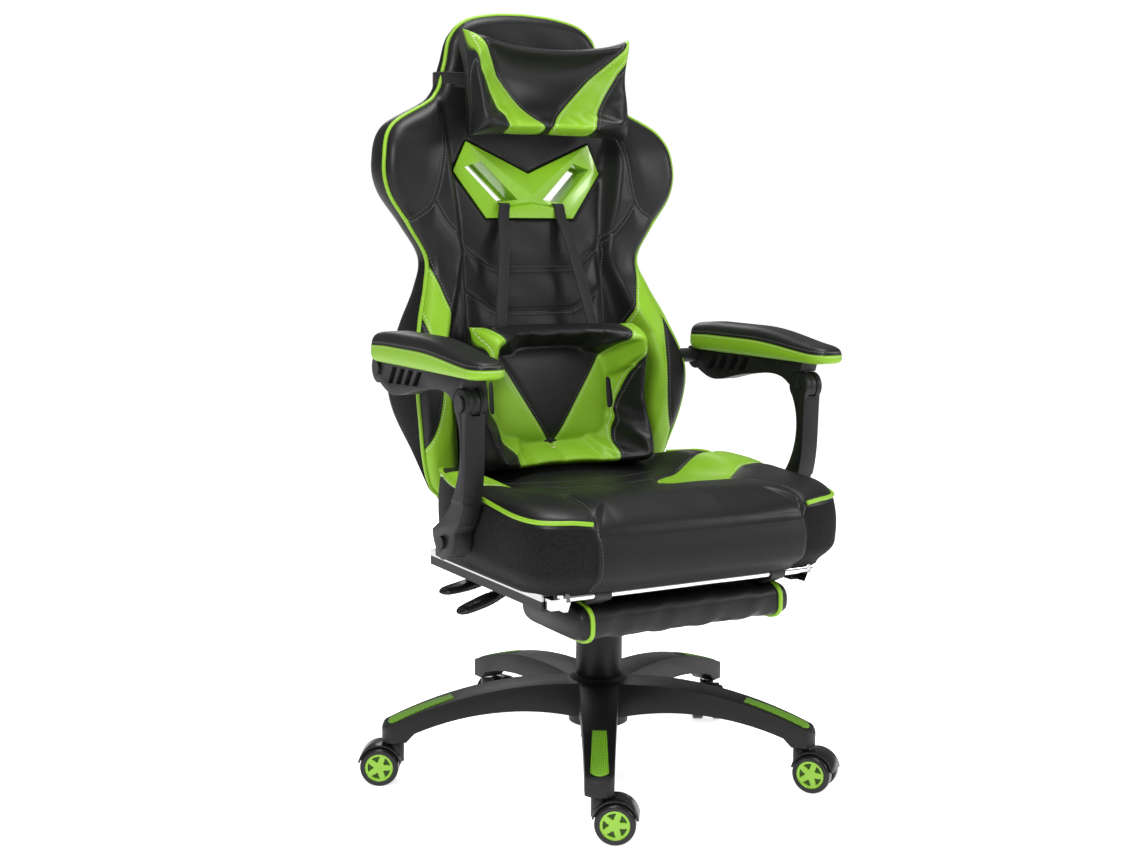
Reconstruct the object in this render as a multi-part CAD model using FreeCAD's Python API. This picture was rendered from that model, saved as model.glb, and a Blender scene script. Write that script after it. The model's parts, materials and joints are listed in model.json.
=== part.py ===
import FreeCAD, Part
import math
import os

Vector = FreeCAD.Vector

# ---------------------------------------------------------------------------
# Racing style swivel chair. Millimetres, +Z up, the sitter faces -Y, and the
# sitter's right hand is at -X. The origin lies on the floor under the column.
# ---------------------------------------------------------------------------

# star base
leg_count = 5
base_turn = 30.8            # angle of the first leg from -Y towards -X
leg_reach = 320.0           # radius of the circle through the leg tips
leg_root_width = 58.0
leg_tip_width = 38.0
leg_root_top = 128.0
leg_crown_top = 125.0
leg_tip_drop = 25.0           # height of the end face of a leg
leg_root_depth = 52.0
hub_radius = 43.0
hub_bottom = 66.0
hub_top = 136.0
insert_length = 92.0
insert_width = 24.0
insert_proud = 1.6
insert_sunk = 1.4

# casters
wheel_radius = 27.0
wheel_width = 17.0
wheel_gap = 15.0
caster_inset = 20.0         # stem centre to the leg tip circle
caster_trail = 22.0         # stem centre to the wheel axle
stem_radius = 5.5
stem_engage = 22.0
axle_radius = 4.0
hood_wall = 2.5
hood_gap = 1.2              # hood to the tread of a wheel
hood_leg_gap = 3.3            # crown of a hood to the end of a leg
tower_leg_gap = 3.5           # stem tower of a hood to the end of a leg
leg_tip_low = 2.0 * wheel_radius + hood_gap + hood_wall + hood_leg_gap
leg_tip_top = leg_tip_low + leg_tip_drop
caster_turns = (144.8, 329.8, 200.0, 60.0, 123.8)

# gas column
tube_radius = 25.0
tube_wall = 2.0
tube_bottom = 40.0
tube_top = 210.0
cylinder_radius = 14.0
rod_radius = 5.0
cover_side = 8.5              # lower cover's outside to the outer tube
cover_radius = tube_radius + cover_side
cover_wall = 2.0
cover_height = 96.0
column_gap = 0.6
cylinder_recess = 24.0        # cylinder end up from the foot of the tube
pin_bore_depth = 24.0

# underside of the seat
mech_half_width = 68.0
mech_front = -54.0
mech_rear = 100.0
mech_wall = 3.0
mech_bottom = 260.0
socket_drop = 22.0
board_bottom = 316.0
board_thickness = 12.0
board_half_width = 224.0
board_front = -205.0
board_rear = 112.0

# seat cushion
seat_half_width = 246.0
seat_rear_half = 200.0
seat_front = -262.0
seat_rear = 124.0
seat_shoulder = -15.0       # where the sides begin to draw in
seat_top = 435.0
seat_corner = 60.0
seat_rear_corner = 24.0
seat_edge_round = 26.0
seat_under_round = 14.0

# hand levers
lever_y = (0.0, 55.0)
lever_z = 287.0
lever_pivot_x = -56.0
lever_rod_radius = 4.0
lever_reach = 230.0
lever_droops = (17.0, 9.0)
lever_bend_x = -110.0
paddle_length = 74.0
paddle_width = 30.0
paddle_thickness = 8.0
pin_radius = 3.5
pin_gap = 1.0

# footrest
rail_x = 200.0
rail_width = 20.0
rail_height = 22.0
rail_wall = 3.0
rail_front = -203.0
rail_rear = 127.0
slide_play = 1.0
slide_rear = 116.0
slide_front = -221.0
cross_y = -232.0
cross_z = 316.0
cross_radius = 6.0
cheek_thickness = 5.0
cap_radius = 8.0
cap_thickness = 4.0
pad_half_width = 168.0
pad_front = -232.0
pad_rear = -66.0
pad_bottom = 249.0
pad_top = 298.0
pad_round = 16.0
hinge_x = 128.0
hinge_width = 22.0
hinge_play = 0.4
hinge_ring = 3.0
hinge_plate = 2.0

# backrest
recline_y = 200.0
recline_z = 391.0
hinge_boss = 18.0
hinge_plate_x = 150.0
hinge_plate_thick = 5.0
hinge_side_gap = 1.0
recline_pin_radius = 6.0
floor_lean = 0.1333         # run per rise of the flat centre panel
floor_foot_y = 165.0        # centre panel at the height floor_foot_z
floor_foot_z = 398.0
recess_deepest = 228.0
# flat centre panel: height, half width, outward run of the wing wall
recess_levels = ((358, 148, 58), (618, 148, 58), (738, 118, 44), (891, 134, 44), (971, 150, 44))
frame_tube = 22.0
frame_x = 134.0
frame_top = 940.0
frame_foot_z = 448.0
frame_foot_y = 225.0
frame_lean = 0.055
frame_cross_z = (498.0, 743.0)
stud_plate_x = 203.0
stud_plate_thick = 6.0

# outline of the backrest, half width against height
back_outline = (
    (176, 384), (198, 410), (220, 494), (227, 568), (210, 637), (189, 690),
    (180, 733), (207, 781), (239, 829), (245, 875), (226, 924), (150, 968),
    (131, 1014), (122, 1056), (96, 1081), (50, 1092),
)
# front and rear faces of the backrest, depth against height
back_front = (
    (152, 378), (137, 446), (121, 508), (121, 568), (150, 637), (173, 685),
    (191, 738), (191, 868), (206, 924), (226, 972), (229, 1020), (226, 1068),
    (232, 1102),
)
back_rear = (
    (244, 1102), (268, 1063), (289, 998), (277, 878), (262, 778), (252, 678),
    (262, 578), (258, 513), (214, 452),
)

# vent in the backrest
vent_ref_z = 854.0
vent_outline = ((0, 859), (105, 905), (126, 861), (75, 792))
vent_window = ((80, 876), (107, 867), (56, 816), (22, 820))
vent_flange = 5.0
vent_proud = 2.0            # front plate in front of the leather
vent_sink = 6.0             # front plate let into the cushion
vent_liner = 2.5
vent_fit = 0.4
vent_seat_gap = 0.2
vent_depth = 38.0           # leather face to the rear plate

# straps and pillows
strap_width = 20.0
strap_thickness = 2.0
strap_gap = 0.4
strap_top_x = 46.0
strap_end_x = 78.0
strap_loop = 3.0
strap_tail = 24.0             # run from the bar back into the vent
strap_bar_gap = 1.5
strap_top_z = 820.0
strap_end_depth = 34.0      # strap end in front of the pillow's back
lumbar_half_width = 139.0
lumbar_bottom = 448.0
lumbar_top = 634.0
lumbar_depth = 96.0
lumbar_back_gap = 4.2
head_half_width = 134.0
head_bottom = 910.0
head_top = 1062.0
head_front = 134.0
head_back = 221.0
band_height = 24.0
band_z = 982.0
band_thickness = 1.5
band_half = 149.0
band_front = 223.6
band_rear = 293.0

# armrests
arm_side_gap = 11.0           # side of the cushion to the inner face of an armrest
arm_width = 28.0
arm_x = seat_half_width + arm_side_gap + arm_width / 2
knuckle_y = -121.0
knuckle_z = 556.0
foot_y = -63.0
foot_z = 366.0
rear_pivot_y = recline_y + knuckle_y - foot_y
rear_pivot_z = recline_z + knuckle_z - foot_z
knuckle_radius = 20.0
tongue_width = 11.0
tongue_gap = 0.6
arm_pin_radius = 5.0
arm_pin_play = 0.4
rear_boss = 21.0
arm_pad_width = 56.0
arm_pad_rear = 150.0
arm_pad_front = -184.0
arm_pad_under = 594.0
arm_pad_crown = 636.0
arm_pad_nose = 616.0
slot_count = 4
slot_pitch = 27.0
slot_width = 15.0
slot_rear_y = 92.0
slot_low = 563.0
slot_high = 587.0
slot_slant = 16.0
bracket_thickness = 3.5
bracket_width = 46.0
bracket_inset = 8.0          # bracket plate in from the side of the board
bracket_boss = 12.0
bracket_boss_gap = 6.5        # boss face to the inner face of the upright
foot_radius = 23.0
bolt_head_radius = 9.0
bolt_head_height = 4.0


def box(x0, x1, y0, y1, z0, z1):
    low = Vector(min(x0, x1), min(y0, y1), min(z0, z1))
    return Part.makeBox(abs(x1 - x0), abs(y1 - y0), abs(z1 - z0), low)


def upright_cylinder(radius, z0, z1, x=0.0, y=0.0):
    return Part.makeCylinder(radius, z1 - z0, Vector(x, y, z0))


def cross_cylinder(radius, x0, x1, y, z):
    """Cylinder along X between two places."""
    start = Vector(min(x0, x1), y, z)
    return Part.makeCylinder(radius, abs(x1 - x0), start, Vector(1, 0, 0))


def polygon_face(points):
    return Part.Face(Part.makePolygon(list(points) + [points[0]]))


def side_plate(outline, x0, x1):
    """Flat plate from a (y, z) outline, between two places along X."""
    low = min(x0, x1)
    face = polygon_face([Vector(low, y, z) for y, z in outline])
    return face.extrude(Vector(abs(x1 - x0), 0, 0))


def mirrored(shape):
    return shape.mirror(Vector(0, 0, 0), Vector(1, 0, 0))


def both_sides(shape):
    return Part.makeCompound([shape, mirrored(shape)])


def fused(shapes):
    return shapes[0].multiFuse(shapes[1:]).removeSplitter()


def spline_through(points):
    curve = Part.BSplineCurve()
    curve.interpolate(points)
    return curve.toShape()


def round_edges(shape, radius, chosen):
    return shape.makeFillet(radius, [edge for edge in shape.Edges if chosen(edge)])


def export(shape, name):
    shape.exportStep("parts/" + name + ".step")


# --- star base and casters ---------------------------------------------------

def leg_angle(number):
    """Direction of a leg, counted from +X."""
    return 270.0 - base_turn - 360.0 * number / leg_count


def turn_to_leg(shape, number):
    turned = shape.copy()
    turned.rotate(Vector(0, 0, 0), Vector(0, 0, 1), leg_angle(number))
    return turned


def leg_profile():
    """Side view of one leg lying along +X, arched above and below."""
    root = hub_radius - 15.0
    middle = leg_reach * 0.55
    top_root = Vector(root, 0, leg_root_top)
    top_middle = Vector(middle, 0, leg_crown_top)
    top_tip = Vector(leg_reach - 6.0, 0, leg_tip_top)
    nose = Vector(leg_reach, 0, leg_tip_top - 7.0)
    end_low = Vector(leg_reach, 0, leg_tip_low)
    pad_in = Vector(leg_reach - 2.0 * caster_inset + 10.0, 0, leg_tip_low)
    arch_start = Vector(pad_in.x - 12.0, 0, pad_in.z + 12.0)
    arch_middle = Vector(middle * 0.85, 0, leg_crown_top - 30.0)
    arch_root = Vector(root, 0, leg_root_top - leg_root_depth)
    edges = [
        Part.Arc(top_root, top_middle, top_tip).toShape(),
        Part.makeLine(top_tip, nose),
        Part.makeLine(nose, end_low),
        Part.makeLine(end_low, pad_in),
        Part.makeLine(pad_in, arch_start),
        Part.Arc(arch_start, arch_middle, arch_root).toShape(),
        Part.makeLine(arch_root, top_root),
    ]
    return Part.Face(Part.Wire(edges))


def leg_plan(root_half, tip_half, start, end):
    """Tapered plan with a rounded tip, as a tall prism."""
    bulge = Vector(end, 0, 0)
    shoulder = end - tip_half * 0.5
    edges = [
        Part.makeLine(Vector(start, -root_half, 0), Vector(shoulder, -tip_half, 0)),
        Part.Arc(Vector(shoulder, -tip_half, 0), bulge, Vector(shoulder, tip_half, 0)).toShape(),
        Part.makeLine(Vector(shoulder, tip_half, 0), Vector(start, root_half, 0)),
        Part.makeLine(Vector(start, root_half, 0), Vector(start, -root_half, 0)),
    ]
    return Part.Face(Part.Wire(edges)).extrude(Vector(0, 0, 400))


def leg_blank():
    side = leg_profile().extrude(Vector(0, 2 * leg_root_width, 0))
    side.translate(Vector(0, -leg_root_width, 0))
    plan = leg_plan(leg_root_width / 2, leg_tip_width / 2, hub_radius - 16.0, leg_reach)
    return side.common(plan)


def insert_band(grow):
    """Long pad let into the top of a leg, grown all round by a clearance."""
    end = leg_reach - 9.0 + grow
    start = leg_reach - 9.0 - insert_length - grow
    half = insert_width / 2 + grow
    plan = leg_plan(half * 0.8, half, start, end)
    lifted = leg_profile().extrude(Vector(0, 2 * leg_root_width, 0))
    lifted.translate(Vector(0, -leg_root_width, insert_proud))
    lowered = lifted.copy()
    lowered.translate(Vector(0, 0, -insert_proud - insert_sunk - grow))
    return lifted.common(plan).cut(lowered)


def stem_place():
    return leg_reach - caster_inset


def stem_top():
    return leg_tip_low + stem_engage


def star_base():
    legs = []
    for number in range(leg_count):
        leg = leg_blank()
        leg = leg.cut(insert_band(0.2))
        socket_floor = leg_tip_low - 1.0
        leg = leg.cut(upright_cylinder(stem_radius, socket_floor, stem_top(), stem_place()))
        legs.append(turn_to_leg(leg, number))
    hub = upright_cylinder(hub_radius, hub_bottom, hub_top - 8.0)
    collar = Part.makeCone(hub_radius, cover_radius + 2.0, 8.0, Vector(0, 0, hub_top - 8.0))
    bore = upright_cylinder(tube_radius, 0, hub_top + 50.0)
    return fused(legs + [hub, collar]).cut(bore)


def leg_inserts():
    pads = [turn_to_leg(insert_band(0.0), number) for number in range(leg_count)]
    return Part.makeCompound(pads)


def caster_stems():
    stems = []
    collar_z = leg_tip_low
    for number in range(leg_count):
        pintle = upright_cylinder(stem_radius, collar_z - 14.0, stem_top(), stem_place())
        collar = upright_cylinder(stem_radius + 3.0, collar_z - 2.5, collar_z, stem_place())
        stems.append(turn_to_leg(fused([pintle, collar]), number))
    return Part.makeCompound(stems)


def hood_solid():
    """Rounded hood between and over the two wheels, stem hole on the Z axis,
    axle behind it along -X."""
    centre = Vector(-caster_trail, 0, wheel_radius)
    outer = wheel_radius + hood_gap + hood_wall
    half = wheel_gap / 2 + wheel_width * 0.62
    dome = Part.makeCylinder(outer, 2 * half, centre - Vector(0, half, 0), Vector(0, 1, 0))
    low_cut = box(-200, 200, -100, 100, -50, wheel_radius + 5.0)
    arch = dome.cut(low_cut)
    web = Part.makeCylinder(wheel_radius - 8.0, wheel_gap - 2 * 1.2,
                            centre - Vector(0, wheel_gap / 2 - 1.2, 0), Vector(0, 1, 0))
    top_z = leg_tip_low - tower_leg_gap
    tower = upright_cylinder(stem_radius + 5.5, wheel_radius + 4.0, top_z)
    hood = fused([arch, web, tower])
    for side in (-1, 1):
        inner = side * (wheel_gap / 2 - 0.6)
        start = centre + Vector(0, min(inner, inner + side * 40), 0)
        tread = Part.makeCylinder(wheel_radius + hood_gap, 40, start, Vector(0, 1, 0))
        hood = hood.cut(tread)
    hood = hood.cut(upright_cylinder(stem_radius + 0.4, leg_tip_low - 14.5, 200))
    axle = Part.makeCylinder(axle_radius, wheel_gap + 2 * wheel_width - 8.0,
                             centre - Vector(0, wheel_gap / 2 + wheel_width - 4.0, 0),
                             Vector(0, 1, 0))
    return Part.makeCompound([hood.cut(axle), axle])


def wheel_solid(side):
    """One wheel with its domed outer face, on the axle along Y."""
    y_in = side * wheel_gap / 2
    y_out = side * (wheel_gap / 2 + wheel_width)
    low = min(y_in, y_out)
    centre = Vector(-caster_trail, low, wheel_radius)
    disc = Part.makeCylinder(wheel_radius, wheel_width, centre, Vector(0, 1, 0))
    disc = disc.makeFillet(3.5, [e for e in disc.Edges if e.Curve.TypeId == "Part::GeomCircle"])
    face_y = y_out - side * 2.0
    dish = Part.makeCylinder(wheel_radius - 9.0, 4.0, Vector(-caster_trail, min(face_y, face_y + side * 4.0),
                                                             wheel_radius), Vector(0, 1, 0))
    bore_end = side * (wheel_gap / 2 + wheel_width - 3.4)
    bore = Part.makeCylinder(axle_radius + 0.4, abs(bore_end - y_in) + 1.0,
                             Vector(-caster_trail, min(y_in - side, bore_end), wheel_radius),
                             Vector(0, 1, 0))
    return disc.cut(dish).cut(bore)


def place_caster(shape, number):
    """Turn a caster about its stem and carry it out to its leg."""
    placed = shape.copy()
    placed.rotate(Vector(0, 0, 0), Vector(0, 0, 1), caster_turns[number])
    angle = math.radians(leg_angle(number))
    placed.translate(Vector(stem_place() * math.cos(angle), stem_place() * math.sin(angle), 0))
    return placed


# --- gas column --------------------------------------------------------------

def column_tube():
    outer = upright_cylinder(tube_radius, tube_bottom, tube_top)
    inner = upright_cylinder(tube_radius - tube_wall, tube_bottom + 6.0, tube_top + 1.0)
    return outer.cut(inner).cut(upright_cylinder(rod_radius, 0, tube_bottom + 20.0))


def guide_bush():
    outer = upright_cylinder(tube_radius - tube_wall, tube_top - 70.0, tube_top)
    bore = upright_cylinder(cylinder_radius + column_gap, 0, tube_top + 1.0)
    return outer.cut(bore)


def piston_rod():
    rod = upright_cylinder(rod_radius, tube_bottom, mech_bottom - 60.0)
    bearing = upright_cylinder(rod_radius + 9.0, tube_bottom + 6.0, tube_bottom + 12.0)
    return fused([rod, bearing])


def column_cover():
    outer = upright_cylinder(cover_radius, hub_top, hub_top + cover_height)
    return outer.cut(upright_cylinder(cover_radius - cover_wall, 0, 500))


def gas_cylinder():
    top = mech_bottom + 8.0
    body = upright_cylinder(cylinder_radius, tube_bottom + cylinder_recess, top)
    rod_bore = upright_cylinder(rod_radius + column_gap, 0, mech_bottom - 50.0)
    pin_bore = upright_cylinder(pin_radius + 0.4, mech_bottom - pin_bore_depth, top + 1.0)
    return body.cut(rod_bore).cut(pin_bore)


def upper_cover():
    radius = cover_radius - cover_wall - column_gap
    low = hub_top + 4.0
    outer = upright_cylinder(radius, low, mech_bottom - socket_drop)
    shell = outer.cut(upright_cylinder(radius - cover_wall, 0, 500))
    cap = upright_cylinder(radius, mech_bottom - socket_drop - 2.0, mech_bottom - socket_drop)
    cap = cap.cut(upright_cylinder(cylinder_radius, 0, 500))
    return fused([shell, cap])


def valve_pin():
    return upright_cylinder(pin_radius, mech_bottom - 14.0, lever_z - lever_rod_radius - pin_gap)


# --- under the seat ----------------------------------------------------------

def mechanism_housing():
    top = board_bottom
    outer = box(-mech_half_width, mech_half_width, mech_front, mech_rear, mech_bottom, top)
    inner = box(-mech_half_width + mech_wall, mech_half_width - mech_wall,
                mech_front + mech_wall, mech_rear - mech_wall, mech_bottom + mech_wall, top + 1)
    flange = box(-130, 130, mech_front - 20, mech_rear + 6, top - 4.0, top)
    socket = upright_cylinder(cylinder_radius + 5.0, mech_bottom - socket_drop + 0.4, mech_bottom + 8.0)
    shell = fused([outer, flange, socket]).cut(inner.cut(socket))
    shell = shell.cut(upright_cylinder(cylinder_radius + column_gap, 0, top + 1))
    for y in lever_y:
        slot = box(-mech_half_width - 2, -mech_half_width + mech_wall + 2,
                   y - 8.0, y + 8.0, lever_z - 12.0, lever_z + 16.0)
        shell = shell.cut(slot)
    return shell


def lever_pins():
    """Pivot pins of the two levers, along Y, with a block that holds each."""
    pieces = []
    for y in lever_y:
        for side in (-1, 1):
            low = y + side * 6.0
            high = y + side * 11.0
            pieces.append(box(lever_pivot_x - 6, lever_pivot_x + 6, low, high,
                              mech_bottom + mech_wall, lever_z + 7.0))
        start = Vector(lever_pivot_x, y - 6.0, lever_z)
        pieces.append(Part.makeCylinder(2.5, 12.0, start, Vector(0, 1, 0)))
    blocks = fused(pieces)
    return blocks


def lever_rod(index):
    """Bent steel rod with an eye on the pivot pin."""
    y = lever_y[index]
    inner_x = 3.0 if index == 0 else lever_pivot_x + 12.0
    bend_x = lever_bend_x
    root_x = -lever_reach + paddle_length - 22.0
    drop = math.tan(math.radians(lever_droops[index]))
    inner = cross_cylinder(lever_rod_radius, inner_x, bend_x, y, lever_z)
    slope_end = Vector(root_x, y, lever_z - (bend_x - root_x) * drop)
    start = Vector(bend_x, y, lever_z)
    outer = Part.makeCylinder(lever_rod_radius, (slope_end - start).Length, start, slope_end - start)
    joint_ball = Part.makeSphere(lever_rod_radius, start)
    eye = Part.makeCylinder(6.0, 11.0, Vector(lever_pivot_x, y - 5.5, lever_z), Vector(0, 1, 0))
    rod = fused([inner, outer, joint_ball, eye])
    return rod.cut(Part.makeCylinder(2.9, 40, Vector(lever_pivot_x, y - 20, lever_z), Vector(0, 1, 0)))


def lever_paddle(index):
    """Flat finger paddle moulded over the outer end of the rod."""
    y = lever_y[index]
    drop = math.tan(math.radians(lever_droops[index]))
    bend_x = lever_bend_x
    start_x = -lever_reach + paddle_length
    tip_x = -lever_reach
    start_z = lever_z - (bend_x - start_x) * drop
    tip_z = lever_z - (bend_x - tip_x) * drop
    half = paddle_width / 2
    top = [Vector(start_x, y - 7, 0), Vector(start_x, y + 7, 0), Vector(start_x - 26, y + half, 0),
           Vector(tip_x + 10, y + half, 0), Vector(tip_x, y + half * 0.5, 0),
           Vector(tip_x, y - half * 0.5, 0), Vector(tip_x + 10, y - half, 0),
           Vector(start_x - 26, y - half, 0)]
    plan = polygon_face(top).extrude(Vector(0, 0, 600))
    thick = paddle_thickness
    side = [Vector(start_x + 1, 0, start_z + thick * 0.8), Vector(start_x + 1, 0, start_z - thick * 0.8),
            Vector(tip_x - 1, 0, tip_z - thick * 0.6), Vector(tip_x - 1, 0, tip_z + thick * 0.3)]
    slab = polygon_face(side).extrude(Vector(0, 200, 0))
    slab.translate(Vector(0, y - 100, 0))
    return slab.common(plan).cut(lever_rod(index))


def seat_board():
    top = board_bottom + board_thickness
    board = box(-board_half_width, board_half_width, board_front, board_rear, board_bottom, top)
    corners = round_edges(board, 40.0, lambda e: abs(e.tangentAt(e.FirstParameter).z) > 0.9)
    return corners


def seat_plan():
    half = seat_half_width
    rear = seat_rear_half
    corner = seat_corner
    front_flat = half - corner
    lean = Vector(front_flat, seat_front + 8.0, 0)
    side_low = Vector(half, seat_front + 8.0 + corner, 0)
    diagonal = Vector(half - corner * 0.29, seat_front + 8.0 + corner * 0.29, 0)
    shoulder = Vector(half, seat_shoulder, 0)
    rear_bend = Vector(rear + 4.0, seat_rear - 30.0, 0)
    rear_end = Vector(rear - seat_rear_corner, seat_rear, 0)
    right = [
        Part.Arc(lean, diagonal, side_low).toShape(),
        Part.makeLine(side_low, shoulder),
        spline_through([shoulder, Vector((half + rear) / 2 + 4, (seat_shoulder + seat_rear - 30) / 2, 0),
                        rear_bend]),
        Part.makeLine(rear_bend, rear_end),
    ]
    left = [mirrored(edge) for edge in right]
    front = Part.Arc(lean, Vector(0, seat_front, 0), Vector(-lean.x, lean.y, 0)).toShape()
    back = Part.makeLine(rear_end, Vector(-rear_end.x, rear_end.y, 0))
    edges = Part.sortEdges(right + left + [front, back])[0]
    return Part.Face(Part.Wire(edges))


def seat_cushion():
    low = board_bottom + board_thickness
    face = seat_plan()
    face.translate(Vector(0, 0, low))
    block = face.extrude(Vector(0, 0, seat_top - low))
    block = round_edges(block, seat_edge_round, lambda e: e.BoundBox.ZMin > seat_top - 1)
    block = round_edges(block, seat_under_round, lambda e: e.BoundBox.ZMax < low + 0.5)
    return block.cut(both_sides(foot_bracket()))


def foot_bracket():
    """Plate standing on the board inside the cushion, with the boss that carries an armrest foot."""
    outer = board_half_width - bracket_inset
    y0 = foot_y - bracket_width / 2
    y1 = foot_y + bracket_width / 2
    wall = box(outer - bracket_thickness, outer, y0, y1, board_bottom + board_thickness, foot_z + bracket_boss)
    boss = cross_cylinder(bracket_boss, outer, arm_x - arm_width / 2 - bracket_boss_gap, foot_y, foot_z)
    return fused([wall, boss])


def foot_bolt():
    start = arm_x - arm_width / 2 - bracket_boss_gap
    end = arm_x + arm_width / 2 - 2.0
    shank = cross_cylinder(arm_pin_radius + 1.0, start, end, foot_y, foot_z)
    head = cross_cylinder(bolt_head_radius, end, end + bolt_head_height, foot_y, foot_z)
    return fused([shank, head])


def hinge_plates():
    x0 = hinge_plate_x
    x1 = hinge_plate_x + hinge_plate_thick
    outline = [(62, board_bottom - 20), (seat_rear + 12, board_bottom - 20),
               (recline_y + hinge_boss * 0.78, recline_z - hinge_boss * 0.62),
               (recline_y - hinge_boss * 0.78, recline_z + hinge_boss * 0.62),
               (seat_rear + 3, board_bottom + 14), (seat_rear + 3, board_bottom), (62, board_bottom)]
    plate = side_plate(outline, x0, x1)
    boss = cross_cylinder(hinge_boss, x0, x1, recline_y, recline_z)
    return fused([plate, boss])


def recline_pins():
    """Pins of the backrest hinge, standing on the inner plates."""
    start = hinge_plate_x + hinge_plate_thick
    end = start + 2 * hinge_side_gap + hinge_plate_thick
    shank = cross_cylinder(recline_pin_radius, start, end, recline_y, recline_z)
    head = cross_cylinder(recline_pin_radius + 5.0, end, end + 4.0, recline_y, recline_z)
    return fused([shank, head])


# --- footrest ----------------------------------------------------------------

def footrest_rail():
    x0 = rail_x - rail_width / 2
    x1 = rail_x + rail_width / 2
    outer = box(x0, x1, rail_front, rail_rear, board_bottom - rail_height, board_bottom)
    bore = box(x0 + rail_wall, x1 - rail_wall, rail_front - 5, rail_rear + 5,
               board_bottom - rail_height + rail_wall, board_bottom - rail_wall)
    slot = box(x0 - 1, x0 + rail_wall + 1, rail_front - 5, rail_rear + 5,
               board_bottom - rail_height / 2 - 4, board_bottom - rail_height / 2 + 4)
    return outer.cut(bore).cut(slot)


def footrest_frame():
    """Two slides and the front bar, welded into one U."""
    half = rail_width / 2 - rail_wall - slide_play
    z0 = board_bottom - rail_height + rail_wall + slide_play
    z1 = board_bottom - rail_wall - slide_play
    pieces = []
    for side in (-1, 1):
        x0 = side * (rail_x - half)
        x1 = side * (rail_x + half)
        pieces.append(box(x0, x1, slide_front, slide_rear, z0, z1))
        x_in = side * (rail_x - half - cheek_thickness)
        outline = [(cross_y - 9, cross_z - 4), (cross_y - 5, cross_z + 6.5), (cross_y + 5, cross_z + 6.5),
                   (rail_front - 3, z1), (rail_front - 3, z0), (cross_y - 2, z0)]
        pieces.append(side_plate(outline, x_in, x0 + side * 1.0))
    inner = rail_x - half - cheek_thickness
    pieces.append(cross_cylinder(cross_radius, -inner, inner, cross_y, cross_z))
    return fused(pieces)


def footrest_caps():
    start = rail_x - rail_width / 2 + rail_wall + slide_play + 1.0
    return both_sides(cross_cylinder(cap_radius, start, start + cap_thickness, cross_y, cross_z))


def footrest_pad():
    pad = box(-pad_half_width, pad_half_width, pad_front, pad_rear, pad_bottom, pad_top)
    along = lambda e: abs(e.tangentAt(e.FirstParameter).x) > 0.9
    return round_edges(pad, pad_round, along)


def pad_hinges():
    """Loops round the front bar with a strap screwed to the pad."""
    outer_radius = cross_radius + hinge_play + hinge_ring
    pieces = []
    for side in (-1, 1):
        x0 = side * hinge_x
        x1 = side * (hinge_x + hinge_width)
        loop = cross_cylinder(outer_radius, x0, x1, cross_y, cross_z)
        y1 = cross_y + 70.0
        strap = box(x0, x1, cross_y + 18.0, y1, pad_top, pad_top + hinge_plate)
        arm = side_plate([(cross_y - 1, cross_z - outer_radius), (cross_y + 9, cross_z - 5),
                          (cross_y + 26, pad_top + hinge_plate), (cross_y + 18, pad_top)], x0, x1)
        solid = fused([loop, strap, arm])
        pieces.append(solid.cut(cross_cylinder(cross_radius + hinge_play, x0 - 5 * side, x1 + 5 * side,
                                               cross_y, cross_z)))
    return Part.makeCompound(pieces)


# --- backrest ----------------------------------------------------------------

def floor_y(z):
    return floor_foot_y + (z - floor_foot_z) * floor_lean


def lean_with_floor(shape):
    """Tilt a shape built on the upright plane y = 0 onto the centre panel,
    turning about the vent's middle height."""
    leaned = shape.copy()
    leaned.translate(Vector(0, floor_y(vent_ref_z), 0))
    angle = -math.degrees(math.atan(floor_lean))
    leaned.rotate(Vector(0, floor_y(vent_ref_z), vent_ref_z), Vector(1, 0, 0), angle)
    return leaned


def front_prism(points, y0, y1):
    """Plate from an (x, z) outline between two depths."""
    face = polygon_face([Vector(x, y0, z) for x, z in points])
    return face.extrude(Vector(0, y1 - y0, 0))


def back_blank():
    right = [Vector(x, 60, z) for x, z in back_outline]
    top = Vector(0, 60, back_outline[-1][1] + 3)
    left = [Vector(-v.x, v.y, v.z) for v in reversed(right)]
    curve = spline_through(right + [top] + left)
    base = Part.makeLine(left[-1], right[0])
    front_view = Part.Face(Part.Wire(Part.sortEdges([curve, base])[0])).extrude(Vector(0, 300, 0))
    front_edge = spline_through([Vector(-300, y, z) for y, z in back_front])
    rear_edge = spline_through([Vector(-300, y, z) for y, z in back_rear])
    top_edge = Part.makeLine(Vector(-300, *back_front[-1]), Vector(-300, *back_rear[0]))
    under_edge = Part.makeLine(Vector(-300, *back_rear[-1]), Vector(-300, *back_front[0]))
    side_wire = Part.Wire([front_edge, top_edge, rear_edge, under_edge])
    side_view = Part.Face(side_wire).extrude(Vector(600, 0, 0))
    return front_view.common(side_view)


def bucket_recess():
    """Space between the wings, in front of the flat centre panel."""
    sections = []
    for z, floor_half, wall in recess_levels:
        y = min(floor_y(z), recess_deepest)
        points = [Vector(-floor_half, y, z), Vector(floor_half, y, z),
                  Vector(floor_half + wall, y - 110, z), Vector(-floor_half - wall, y - 110, z)]
        sections.append(Part.makePolygon(points + [points[0]]))
    return Part.makeLoft(sections, True, True)


def vent_windows(grow, y0, y1):
    """The two slanted windows, grown by a clearance."""
    cx = sum(x for x, z in vent_window) / 4
    cz = sum(z for x, z in vent_window) / 4
    points = []
    for x, z in vent_window:
        length = math.hypot(x - cx, z - cz)
        points.append((x + grow * (x - cx) / length, z + grow * (z - cz) / length))
    right = front_prism(points, y0, y1)
    return [right, mirrored(right)]


def vent_plan(grow, y0, y1):
    """Mask shaped plate of the vent, its outline grown by a clearance."""
    half = list(vent_outline)
    left = [(-x, z) for x, z in reversed(half[1:])]
    face = polygon_face([Vector(x, y0, z) for x, z in half + left])
    if grow > 0:
        face = face.makeOffset2D(grow)
    return face.extrude(Vector(0, y1 - y0, 0))


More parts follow.
